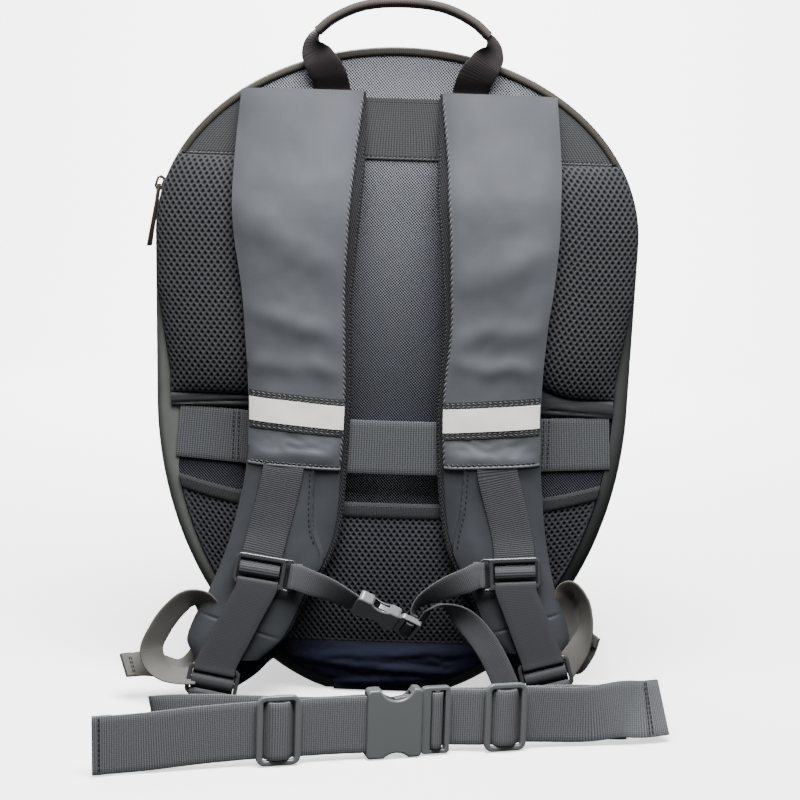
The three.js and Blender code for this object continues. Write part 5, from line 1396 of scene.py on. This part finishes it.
# The anchor tabs: doubled base cloth sewn into the gusset's lip, each carrying a lower buckle.
# The straps' spare ends loop out beside them, folded over and sewn at the tip.
TAB = {"width": 28.2, "thick": 2.2, "lip_z": 31}
TAB_FOOT = {"left": 3.4, "right": 13.5}
TAIL_WEB = 18
TAIL_ROWS = {
    "left": [(-132, 44, 20, 0, 0.93, 0.36), (-142, 46, 20.5, 0, 0.93, 0.38),
             (-151.5, 46.5, 23, 0.3, 0.85, 0.4), (-159.5, 46, 30, 0.7, 0.65, 0.3),
             (-162, 45, 39.5, 0.82, 0.55, 0.1), (-156.5, 43.5, 53, 0.74, 0.55, -0.37),
             (-148.5, 42, 65, 0.68, 0.55, -0.45), (-138.5, 39.5, 73.5, 0.45, 0.6, -0.66),
             (-129, 35, 73, -0.3, 0.6, -0.75), (-124, 30, 64, -0.9, 0.3, -0.2),
             (-126, 27, 47, -0.85, 0.35, 0.35), (-132, 27, 31, -0.5, 0.75, 0.4),
             (-144, 29, 22, -0.1, 0.9, 0.35), (-157, 31.5, 23, -0.1, 0.65, 0.7),
             (-168, 34, 25, -0.15, 0.45, 0.87), (-176, 38.5, 25.2, -0.35, 0.5, 0.8),
             (-182, 43, 25.6, -0.42, 0.5, 0.77)],
    "right": [(126, 43, 33, -0.7, 0.5, 0.5), (130.5, 44, 40, -0.7, 0.55, 0.45),
              (136, 45, 50, -0.65, 0.7, 0.3), (139.4, 45, 61, -0.45, 0.88, 0.1),
              (139.6, 44, 72, -0.4, 0.9, -0.05), (137, 42, 82, -0.35, 0.85, -0.3),
              (131, 38, 88, -0.2, 0.7, -0.65), (127, 33, 85, 0.4, 0.5, -0.75),
              (127.5, 29, 75, 0.95, 0.2, -0.1),
              (130, 28, 59, 0.9, 0.2, 0.3), (131, 31, 44, 0.6, 0.5, 0.5), (135, 35, 35, -0.3, 0.85, 0.45),
              (141.5, 37, 45, -0.5, 0.85, 0.2), (145.5, 38, 58, -0.5, 0.85, 0.15)],
}
TIP_FOLD = 8


def route_of(rows):
    return [((x, BACK_Y - forward, z), (ax, ay, az)) for x, forward, z, ax, ay, az in rows]


def fold_over(piece, frames, width, sign, length_limit=14):
    """Joins a second layer over the last stretch of a webbing's end, on the side that sign picks."""
    kept, length = [frames[0]], 0.0
    for before, frame in zip(frames, frames[1:]):
        length += (frame[0] - before[0]).length
        if length > length_limit:
            break
        kept.append(frame)
    layer = [(at + normal * sign * (WEB + 0.05), side, normal) for at, side, normal in kept]
    fold = ribbon("fold", layer, width, WEB)
    pick(piece)
    fold.select_set(True)
    bpy.ops.object.join()


LOOP_ROWS = [(-3.2, 7), (-2, 5.4), (0, 4.6), (over_middle, 1.8), (over_middle, -1.8), (0, -4.6), (-2, -5.4),
             (-over_bar, -8), (-over_bar, -10.6), (-1.6, -12.6), (1.2, -12.8), (over_bar, -10.4),
             (over_bar, -8), (1.8, -6.4)]
spare_ends = {}
tail_webbing = webbing_cloth("spare end webbing", "#504e4b", "#585653", 1.0, 0.8, 0.02)
for word, side in SIDES.items():
    low_place = HARDWARE[word]["lower"]
    tangent = Vector((side * 0.63, 0, 0.78))
    outward = Vector((side * 0.78, 0, -0.63))
    edge = Vector((side * half_at(TAB["lip_z"], 1), BACK_Y - GAP - TAB["thick"] / 2, TAB["lip_z"]))
    behind = -FRAME["thick"] / 2 - GAP - TAB["thick"] / 2 - 0.1
    low_across = along_seat(low_place, side, 0, 0)
    route = [(edge - outward * 6.5, tangent), (edge, tangent),
             (edge + outward * 7 + Vector((0, -7, 0)), tangent),
             (on_seat(low_place, 0, behind - 6, 7 - bar_middle), low_across),
             (on_seat(low_place, 0, behind, -bar_middle), low_across),
             (on_seat(low_place, 0, behind, -bar_middle - TAB_FOOT[word]), low_across)]
    tab = ribbon(f"anchor_tab_cloth_{word}", frames_along(route, 10), TAB["width"], TAB["thick"])
    dress(tab, base_cloth, "base", f"anchor_tab_{word}", sharp_deg=60)
    route = [(on_seat(low_place, 0, forward, z), along_seat(low_place, 1, 0, 0)) for forward, z in LOOP_ROWS]
    lay(f"anchor_loop_{word}", route, 6, LOWER_WEB + 0.8, lower_webbing)
    tail_frames = frames_along(route_of(TAIL_ROWS[word]), 10)
    tail = ribbon(f"spare_end_{word}", tail_frames, TAIL_WEB, WEB)
    spare_ends[word] = tail_frames[::-1]
    fold_over(tail, spare_ends[word], TAIL_WEB, side, TIP_FOLD)
    dress(tail, tail_webbing, "webbing", f"strap_tail_{word}", sharp_deg=60)

# The side-release buckles: a moulded socket with a tunnel and two thumb notches, and a plug whose two
# sprung prongs show in the notches. The webbing goes round a bar in each.
# The belt's buckle is large, the sternum strap's small.
BELT_WEB = 38
BIG_BUCKLE = {"socket": 37, "plug": 19.5, "height": 46, "thick": 10.4, "tunnel": 6.6, "web": BELT_WEB,
              "notch": 12, "notch_depths": (3.4, 7.4), "notch_x": -17}
SMALL_BUCKLE = {"socket": 32, "plug": 16, "height": 23, "thick": 8.6, "tunnel": 5.8, "web": STERNUM_WEB,
                "notch": 9, "notch_depths": (3.6, 3.6), "notch_x": -15}
PRONG = [(1, 0.55), (-0.42, 0.62), (-0.5, 0.86), (-0.28, 0.93), (0.1, 0.86), (1, 0.84)]
BELT = {"x": 17, "forward": 140, "z": 23.6, "turn_deg": 16}


def socket_bar(b):
    return {"x": -b["socket"] * 0.79, "half": b["socket"] * 0.05, "thin": b["tunnel"] * 0.136}


def plug_bar(b):
    rail, slot, bar = b["plug"] * 0.2, b["plug"] * 0.22, b["plug"] * 0.16
    first = GAP + rail
    return {"slot": slot, "half": bar / 2, "x": first + slot + bar / 2, "thin": b["thick"] * 0.25,
            "end": first + slot * 2 + bar}


def notched_loop(b):
    """The socket's outline: a rounded rectangle with a thumb notch in its lower and upper edge."""
    high = b["height"] / 2
    corner = rounded(-b["socket"], -high, 0, high, 3)
    quarter = len(corner) // 4
    arcs = []
    for sign, depth in zip((-1, 1), b["notch_depths"]):
        centre = high + b["notch"] - depth
        spread = math.acos((centre - high) / b["notch"])
        reach = b["notch"]
        arcs.append([(b["notch_x"] - sign * reach * math.sin(a), sign * (centre - reach * math.cos(a)))
                     for a in even(-spread, spread, 14)])
    return corner[3 * quarter:] + arcs[0] + corner[:2 * quarter] + arcs[1] + corner[2 * quarter:3 * quarter]


def buckle_socket(name, b, place):
    body = plate(name, [notched_loop(b)], b["thick"], 1.5, place, 4)
    bpy.ops.object.select_all(action="DESELECT")
    bpy.ops.mesh.primitive_cube_add(size=1)
    tunnel = bpy.context.object
    sized = Matrix.Diagonal((b["socket"] * 2, b["tunnel"], b["web"] + 2, 1))
    tunnel.data.transform(Matrix.Scale(MM, 4) @ place @ Matrix.Translation((-b["socket"] / 2, 0, 0)) @ sized)
    modify(body, "BOOLEAN", operation="DIFFERENCE", object=tunnel, solver="EXACT")
    bpy.data.objects.remove(tunnel)
    bar = socket_bar(b)
    reach = b["web"] / 2 + 1.5
    loop = rounded(bar["x"] - bar["half"], -reach, bar["x"] + bar["half"], reach, 0.4)
    return unite(body, plate(name + "_bar", [loop], bar["thin"] * 2, 0.3, place))


def buckle_plug(name, b, place):
    bar = plug_bar(b)
    slot_half = b["web"] / 2 + 0.8
    loops = [rounded(GAP, -b["height"] / 2 + 0.6, b["plug"], b["height"] / 2 - 0.6, 2.5)]
    near_slot = WEB + 0.9
    slots = ((bar["x"] - bar["half"] - near_slot, near_slot), (bar["x"] + bar["half"], bar["slot"]))
    for left, wide in slots:
        loops.append(rounded(left, -slot_half, left + wide, slot_half, 0.8))
    body = plate(name, loops, bar["thin"] * 2, 0.7, place, 3)
    thick = b["tunnel"] - 1.6
    for end in (-1, 1):
        outline = [(along * b["socket"] if along < 0 else along + GAP, end * out * b["web"] / 2)
                   for along, out in PRONG]
        body = unite(body, plate(name + "_prong", [outline[::end]], thick, 0.5, place))
    guide = rounded(1 - b["socket"] * 0.45, -b["web"] * 0.08, 1.4, b["web"] * 0.08, 0.6)
    return unite(body, plate(name + "_guide", [guide], thick, 0.5, place))


def joint_seat(middle, b):
    return middle @ Matrix.Translation(((b["socket"] - b["plug"]) / 2, 0, 0))


sternum_joint = joint_seat(seat(1, 45, 68, 25, 46), SMALL_BUCKLE)
belt_turn = Matrix.Rotation(math.radians(BELT["turn_deg"]), 4, "Z")
belt_seat = seat(BELT["x"], BELT["forward"], BELT["z"], 0, 0) @ belt_turn
belt_joint = joint_seat(belt_seat, BIG_BUCKLE)
for stem, b, joint, acetal in (("sternum", SMALL_BUCKLE, sternum_joint, shiny_acetal),
                               ("belt", BIG_BUCKLE, belt_joint, grey_acetal)):
    dress_moulding(buckle_socket(f"{stem}_buckle_socket", b, joint), acetal, f"{stem}_socket")
    dress_moulding(buckle_plug(f"{stem}_buckle_plug", b, joint), acetal, f"{stem}_plug")

# The sternum strap: narrow webbing from the left adjuster's ring to the socket, and a slack arch from the
# right ring to the plug, with its spare end hanging loose in front.
STERNUM_WAY = {
    "left": [(-53, 43.4, 89.4, 0.2, 0, 1), (-40, 44.8, 85.4, 0.3, -0.3, 0.95)],
    "right": [(57, 42.6, 94.6, -0.1, 0, 1), (43.5, 43, 89.2, -0.25, -0.3, 0.9),
              (33, 43, 83.6, -0.3, -0.55, 0.75), (25, 42, 78, -0.35, -0.8, 0.5),
              (20.6, 41, 71.5, -0.25, -0.93, 0.25), (21.6, 40.4, 64, 0.1, -0.85, 0.5)],
}
STERNUM_TAIL = [(25.5, 43, 66, 0, -0.85, 0.5), (30.5, 47, 74, 0, -0.95, 0.3),
                (37.6, 50, 77.6, 0.25, -0.93, 0.2), (45.7, 52, 75.6, 0.55, -0.75, 0.3),
                (52.7, 53, 71, 0.7, -0.45, 0.5), (61, 54, 63.5, 0.78, -0.15, 0.6),
                (71, 55, 51, 0.83, 0, 0.55), (79, 55.5, 37, 0.85, 0, 0.5), (86, 56, 22, 0.85, 0, 0.5)]


def round_ring(word):
    place, ring = HARDWARE[word]["adjuster"], HARDWARE[word]["ring"]
    way = [(-5, -over_bar)] + round_bar(RING_BAR / 2, FRAME["thick"] / 2)[::-1] + [(-2, over_bar)]
    across = along_seat(place, 0, 0, 1)
    return [(on_seat(place, ring * (ring_bar_x - s), forward, 0), across) for s, forward in way]


def into_socket(joint, b, turn_in):
    bar = socket_bar(b)
    deep = bar["thin"] + LAYER
    way = [(-2, deep)] + round_bar(bar["half"], bar["thin"]) + [(-turn_in, -deep)]
    return [(on_seat(joint, bar["x"] + s, forward, 0), along_seat(joint, 0, 0, 1)) for s, forward in way]


def into_plug(joint, b, tail):
    bar = plug_bar(b)
    x, half, thin, end, slot = (bar[k] for k in ("x", "half", "thin", "end", "slot"))
    deep = thin + LAYER
    way = [(b["plug"] + 0.6, -deep), (end + 0.5, -deep), (end - slot * 0.35, -thin), (end - slot / 2, 0),
           (end - slot * 0.65, thin), (x + half - 0.2, deep)]
    way += [(x - s, forward) for s, forward in round_bar(half, thin)] + tail
    return [(on_seat(joint, along, forward, 0), along_seat(joint, 0, 0, 1)) for along, forward in way]


sternum_webbing = webbing_cloth("sternum webbing", "#2c2d2f", "#515255", 1.2, 1.0, 0.12)
into_buckle = {"left": into_socket(sternum_joint, SMALL_BUCKLE, 3),
               "right": into_plug(sternum_joint, SMALL_BUCKLE, [])}
for word, way_in in into_buckle.items():
    route = round_ring(word) + route_of(STERNUM_WAY[word]) + way_in
    lay(f"sternum_strap_{word}", route, 6, STERNUM_WEB, sternum_webbing, f"sternum_webbing_{word}")
tail_forward = SMALL_BUCKLE["thick"] * 0.25 + LAYER * 2 + WEB / 2
route = [(on_seat(sternum_joint, x, -tail_forward, 0), along_seat(sternum_joint, 0, 0, 1)) for x in (8, 13)]
lay("sternum_spare_end", route + route_of(STERNUM_TAIL), 8, STERNUM_WEB, sternum_webbing, "sternum_tail")

# The waist belt: heavy webbing that stands on its edge on the floor, doubled back through two sliders.
# Its free ends are folded over and sewn, and its fixed ends lie on the floor and run back to the tabs.
SLIDER = {"width": 29, "height": 46, "thick": 3.5, "rail": 4.2, "slot": 6.2, "shave": 0.55, "forward": 3.5}
SLIDER_X = {"left": -86, "right": 66}
BELT_TURN_IN = 12
slider_bar = SLIDER["width"] / 2 - SLIDER["rail"] - SLIDER["slot"]
behind_rail = SLIDER["forward"] - SLIDER["thick"] / 2 - LAYER
over_slider = SLIDER["forward"] + SLIDER["thick"] / 2 - SLIDER["shave"] + LAYER
back_layer = behind_rail - WEB - 1.4
for word, x in SLIDER_X.items():
    half_w, half_h, slot_half = SLIDER["width"] / 2, SLIDER["height"] / 2, BELT_WEB / 2 + 0.3
    place = belt_seat @ Matrix.Translation((x, -SLIDER["forward"], 0))
    loops = [rounded(-half_w, -half_h, half_w, half_h, 6)]
    loops.append(rounded(-half_w + SLIDER["rail"], -slot_half, half_w - SLIDER["rail"], slot_half, 1.8))
    body = plate(f"belt_triglide_{word}", loops, SLIDER["thick"], 1.1, place, 4)
    bar_loop = rounded(-slider_bar, -slot_half - 1, slider_bar, slot_half + 1, 1.2)
    bar_place = place @ Matrix.Translation((0, SLIDER["shave"] / 2, 0))
    bar_thick = SLIDER["thick"] - SLIDER["shave"] - 0.2
    bar = plate(f"belt_triglide_bar_{word}", [bar_loop], bar_thick, 0.8, bar_place, 3)
    dress_moulding(unite(body, bar), grey_acetal, f"belt_slider_{word}")


def in_belt(rows):
    return [(on_seat(belt_seat, x, forward, z), (0, 0, 1)) for x, forward, z in rows]


def leaned(rows):
    return [(on_seat(belt_seat, x, forward, z), across) for x, forward, z, *across in rows]


def through_slider(x, towards):
    rail = SLIDER["width"] / 2
    inner = rail - SLIDER["rail"]
    way = [(-rail - 2, behind_rail), (-inner + 0.2, behind_rail), (-slider_bar - 0.3, over_slider),
           (slider_bar + 0.3, over_slider), (inner - 0.2, behind_rail), (rail + 2, behind_rail)]
    return [(x + towards * s, forward, 0) for s, forward in way]


belt_webbing = webbing_cloth("belt webbing", "#27282a", "#77797c", 1.5, 1.2, column_share=0.22)
left_route = in_belt([(-203, 2, -3.6), (-170, 1, -3), (-135, behind_rail, -1),
                      *through_slider(SLIDER_X["left"], 1), (-52, behind_rail, 0)])
left_route += into_socket(belt_joint, BIG_BUCKLE, BELT_TURN_IN)
left_route += in_belt([(-62, back_layer, 0), (-100, back_layer, 3), (-140, back_layer - 0.6, 6)])
left_route += leaned([(-157, back_layer - 2.2, 6, 0.1, 0, 1), (-164.5, -9, 3.5, 0.3, 0, 0.95),
                      (-162, -20, 0, 0.45, 0, 0.89)])
left_route += route_of([(-142, 148, 16, 0.6, 0, 0.8), (-138, 130, 10, 0.88, -0.1, 0.44),
                        (-132, 108, 4.6, 0.97, -0.2, 0.15), (-124, 82, 1.5, 0.97, -0.25, 0),
                        (-120, 60, 1.3, 1, -0.1, 0), (-118, 40, 1.3, 1, -0.1, 0)])
bar = plug_bar(BIG_BUCKLE)
plug_return = [(bar["x"] + 1.6, -5), (bar["end"] - 2, -5.9), (BIG_BUCKLE["plug"] + 1, -5.9)]
right_route = leaned([(180, -4, -2.2, -0.2, 0.42, 0.9), (164, 1, -1, -0.15, 0.3, 0.95),
                      (148, 3.4, 0.6, -0.1, 0.14, 0.98), (124, 2.6, -1.6, 0, 0.04, 1)])
right_route += in_belt([(98, behind_rail, -1), *through_slider(SLIDER_X["right"], -1), (42, -1, 0)])
right_route += into_plug(belt_joint, BIG_BUCKLE, plug_return)
right_route += in_belt([(48, back_layer - 1.4, 0), (66, back_layer, 0), (110, back_layer, -1),
                        (140, back_layer - 1, -3)])
right_route += leaned([(154, back_layer - 3.2, -4.2, 0.1, 0.15, 0.98), (160, -10, -5.6, 0.25, 0.35, 0.9),
                       (157, -20, -8, 0.35, 0.5, 0.79)])
right_route += route_of([(156, 68, 13.6, 0.4, 0.6, 0.69), (151, 62, 9, 0.45, 0.75, 0.45),
                         (143, 57, 4.6, 0.5, 0.85, 0.15), (132, 51, 2.3, 0.5, 0.85, 0),
                         (120, 43, 2.2, 0.5, 0.85, 0)])
belt_frames = {}
for word, route in (("left", left_route), ("right", right_route)):
    belt_frames[word] = frames_along(route, 8)
    belt = ribbon(f"waist_belt_{word}", belt_frames[word], BELT_WEB, WEB, 10)
    fold_over(belt, belt_frames[word], BELT_WEB, -1)
    dress(belt, belt_webbing, "webbing", f"belt_{word}", sharp_deg=60)

# The seams: polyester thread in lockstitch, grey on the straps and darker on the pads and bands.
# Every stitch is a short capsule of thread that sinks into the cloth at both ends.
thread = new_material("grey thread", {"Base Color": "#3e3f41", "Roughness": 0.6})[0]
edge_thread = new_material("dull edge thread", {"Base Color": "#434447", "Roughness": 0.65})[0]
dark_thread = new_material("dark thread", {"Base Color": "#0e0e10", "Roughness": 0.6})[0]
TO_VIEWER = Vector((0, -1, 0))
# Length, width and pitch of each kind of stitch.
STITCH = {"edge": (4.4, 1.7, 3.9), "lining": (2.8, 1.1, 2.7), "hem": (3.1, 1.3, 3.8),
          "overlay": (2.9, 1.0, 4.0), "trim": (2.7, 0.9, 3.7), "band": (2.4, 0.7, 3.4),
          "tack": (2.8, 1.1, 3.2), "ridge": (2.6, 1.1, 3.0)}


def sew(name, seams, material, length, width, pitch, slant_deg=0.0):
    """Stitches along seams, each a list of (point, outward normal) pairs in millimetres."""
    bpy.ops.object.select_all(action="DESELECT")
    bpy.ops.mesh.primitive_uv_sphere_add(segments=6, ring_count=4, radius=0.5, rotation=(0, math.pi / 2, 0))
    bpy.ops.object.transform_apply(location=True, rotation=True, scale=True)
    model = bpy.context.object
    model.data.transform(Matrix.Diagonal((length, width, width * 0.8, 1)))
    places = []
    for seam in seams:
        travelled, due = 0.0, pitch / 2
        for (a, normal_a), (b, normal_b) in zip(seam, seam[1:]):
            span = (b - a).length
            while span > 0 and due <= travelled + span:
                t = (due - travelled) / span
                up = normal_a.lerp(normal_b, t).normalized()
                along = ((b - a) - up * (b - a).dot(up)).normalized()
                along.rotate(Matrix.Rotation(math.radians(slant_deg), 3, up))
                turn = Matrix((along, up.cross(along), up)).transposed().to_4x4()
                places.append(Matrix.Translation(a.lerp(b, t)) @ turn)
                due += pitch
            travelled += span
    return dress(copies(name, model, places), material, "webbing")


def on_strap(word, share, z, lift):
    """A point on a strap's face and the direction it faces."""
    at = strap_point(word, share, z, cover_raise(word, share, z) + lift)
    right = strap_point(word, share + 0.02, z, cover_raise(word, share + 0.02, z) + lift) - at
    up = strap_point(word, share, z + 1, cover_raise(word, share, z + 1) + lift) - at
    return at, right.cross(up).normalized()


for word, side in SIDES.items():
    inner = -side
    edge_seam = [on_strap(word, inner * 0.978, z, 0.1) for z in even(423, 172, 120)]
    lining_seam = []
    for z in even(392, 60, 120):
        share = inner * (1 + 2 * (read_at(LINING_ROWS, z, 1) - 1.2) / read_at(STRAP_ROWS[word], z, 2))
        lining_seam.append((strap_point(word, share, z, STRAP["edge_half"] + 0.1), TO_VIEWER))
    sew(f"edge_stitches_{word}", [edge_seam], edge_thread, *STITCH["edge"], inner * 26)
    sew(f"lining_stitches_{word}", [lining_seam], dark_thread, *STITCH["lining"], inner * 30)
    shares = even(-0.95, 0.95, 24)
    hem_seam = [on_strap(word, s, hem_z(word, s) + 2.4, 0.2) for s in shares]
    overlay_seam = []
    for z in even(HEM_LINE[word][0] - 3, 112, 24):
        share = read_at(FLAP_SEAM[word], z, 1) - inner * 0.08
        at = strap_point(word, share, z, flap_raise(word, share, z) + 0.15)
        overlay_seam.append((at, TO_VIEWER))
    sew(f"hem_stitches_{word}", [hem_seam], dark_thread, *STITCH["hem"], -24)
    sew(f"overlay_stitches_{word}", [overlay_seam], dark_thread, *STITCH["overlay"])
    for row, slant in ((1.5, 18), (3.4, -18)):
        chain = []
        for offset in (REFLECTOR["half"] + row, -REFLECTOR["half"] - row):
            seam_z = REFLECTOR["z"] + offset
            chain.append([on_strap(word, s, seam_z + side * REFLECTOR["lean"] * s, 0.75) for s in shares])
        sew(f"trim_stitches_{word}_{slant}", chain, thread, *STITCH["trim"], slant)

SEWN_X = (108, 111.5)
BELT_SEAMS = {"left": (2.8,), "right": (11.5, 13.5)}
TIP_SEAMS = (4.5, 6.5)
band_seams, bar_tacks = [], []
for x in SEWN_X:
    for side in (-1, 1):
        near = min(luggage_frames, key=lambda f: abs(f[0].x - side * x))
        face = near[0] + Vector((0, -BAND["thick"] / 2 - 0.05, 0))
        bar_tacks.append([(face + Vector((0, 0, h)), TO_VIEWER) for h in even(-17, 17, 6)])
for edge_z in (BAND["bottom"] + 2.5, BAND["top"] - 2.5):
    reach = half_at(edge_z, 10)
    band_seams.append([(Vector((x, BACK_Y - GAP - BAND["thick"] - 0.05, edge_z)), TO_VIEWER)
                       for x in even(-reach, reach, 40)])
hem_lift = POCKET["thick"] + 0.75
band_seams.append([(pocket_point(u, pocket_top(u) - POCKET["bottom"] - 2.2, hem_lift), TO_VIEWER)
                   for u in even(-0.97, 0.97, 60)])
one_layer, two_layers = WEB * 0.5 + 0.1, WEB * 1.5 + 0.1
folded_ends = [(belt_frames["left"], 1, one_layer, BELT_SEAMS["left"], BELT_WEB),
               (belt_frames["right"], -1, two_layers, BELT_SEAMS["right"], BELT_WEB)]
folded_ends += [(spare_ends[word], side, two_layers, TIP_SEAMS, TAIL_WEB) for word, side in SIDES.items()]
for frames, sign, lift, distances, web in folded_ends:
    for distance in distances:
        travelled = 0.0
        for before, (at, across, normal) in zip(frames, frames[1:]):
            travelled += (at - before[0]).length
            if travelled > distance:
                break
        face = at + normal * sign * lift
        bar_tacks.append([(face + across * h, normal * sign) for h in even(2 - web / 2, web / 2 - 2, 6)])
sew("band_stitches", band_seams, dark_thread, *STITCH["band"])
sew("bar_tacks", bar_tacks, dark_thread, *STITCH["tack"])
ridge_z = BAND["bottom"] + 0.9
ridge = [(Vector((x, BACK_Y - GAP - BAND["thick"], ridge_z)), TO_VIEWER) for x in even(-152, 152, 40)]
sew("band_edge_stitches", [ridge], thread, *STITCH["ridge"], 10)

# The zip's slider and its puller: die-cast and lacquered dark bronze, with the puller hooked in the bridge.
# The puller swings on its own body.
PULLER = {"from_z": 350, "swell": 2.2}
# Baked lacquer on a zinc casting: dark bronze, half glossy, rubbed in small patches.
BRONZE = {"Base Color": "#3a322d", "Metallic": 0.35, "Roughness": 0.38}
lacquer, tree, shader = new_material("bronze lacquer", BRONZE)
coords = add_node(tree, "TexCoord", {})
cloud = add_node(tree, "TexNoise", {"Vector": coords.outputs["Object"], "Scale": 300.0, "Detail": 3.0})
rub(tree, shader, cloud, 0.3, 0.5)


def cast_copy(node, name, bevel):
    """A softened copy of a small casting, in its place."""
    mesh = frame["nodes"][node].data.copy()
    piece = bpy.data.objects.new(name, mesh)
    bpy.context.scene.collection.objects.link(piece)
    pick(piece)
    bpy.ops.object.mode_set(mode="EDIT")
    bpy.ops.mesh.select_all(action="SELECT")
    bpy.ops.mesh.remove_doubles(threshold=1e-6)
    bpy.ops.mesh.dissolve_limited(angle_limit=math.radians(2))
    bpy.ops.object.mode_set(mode="OBJECT")
    modify(piece, "BEVEL", width=bevel * MM, segments=3, limit_method="ANGLE", angle_limit=math.radians(30))
    return piece


slider = cast_copy("zip_slider", "zip_slider_casting", 0.45)
dress(slider, lacquer, "puller", "zip_slider")
puller = cast_copy("zip_puller", "zip_puller_tag", 0.4)
tag = [v for v in puller.data.vertices if v.co.z < PULLER["from_z"] * MM]
tag_x = sum(v.co.x for v in tag) / len(tag)
for vert in tag:
    if vert.co.x < tag_x:
        vert.co.x = tag_x + (vert.co.x - tag_x) * PULLER["swell"]
dress(puller, lacquer, "puller", "zip_puller")
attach(puller, "zip_pull")
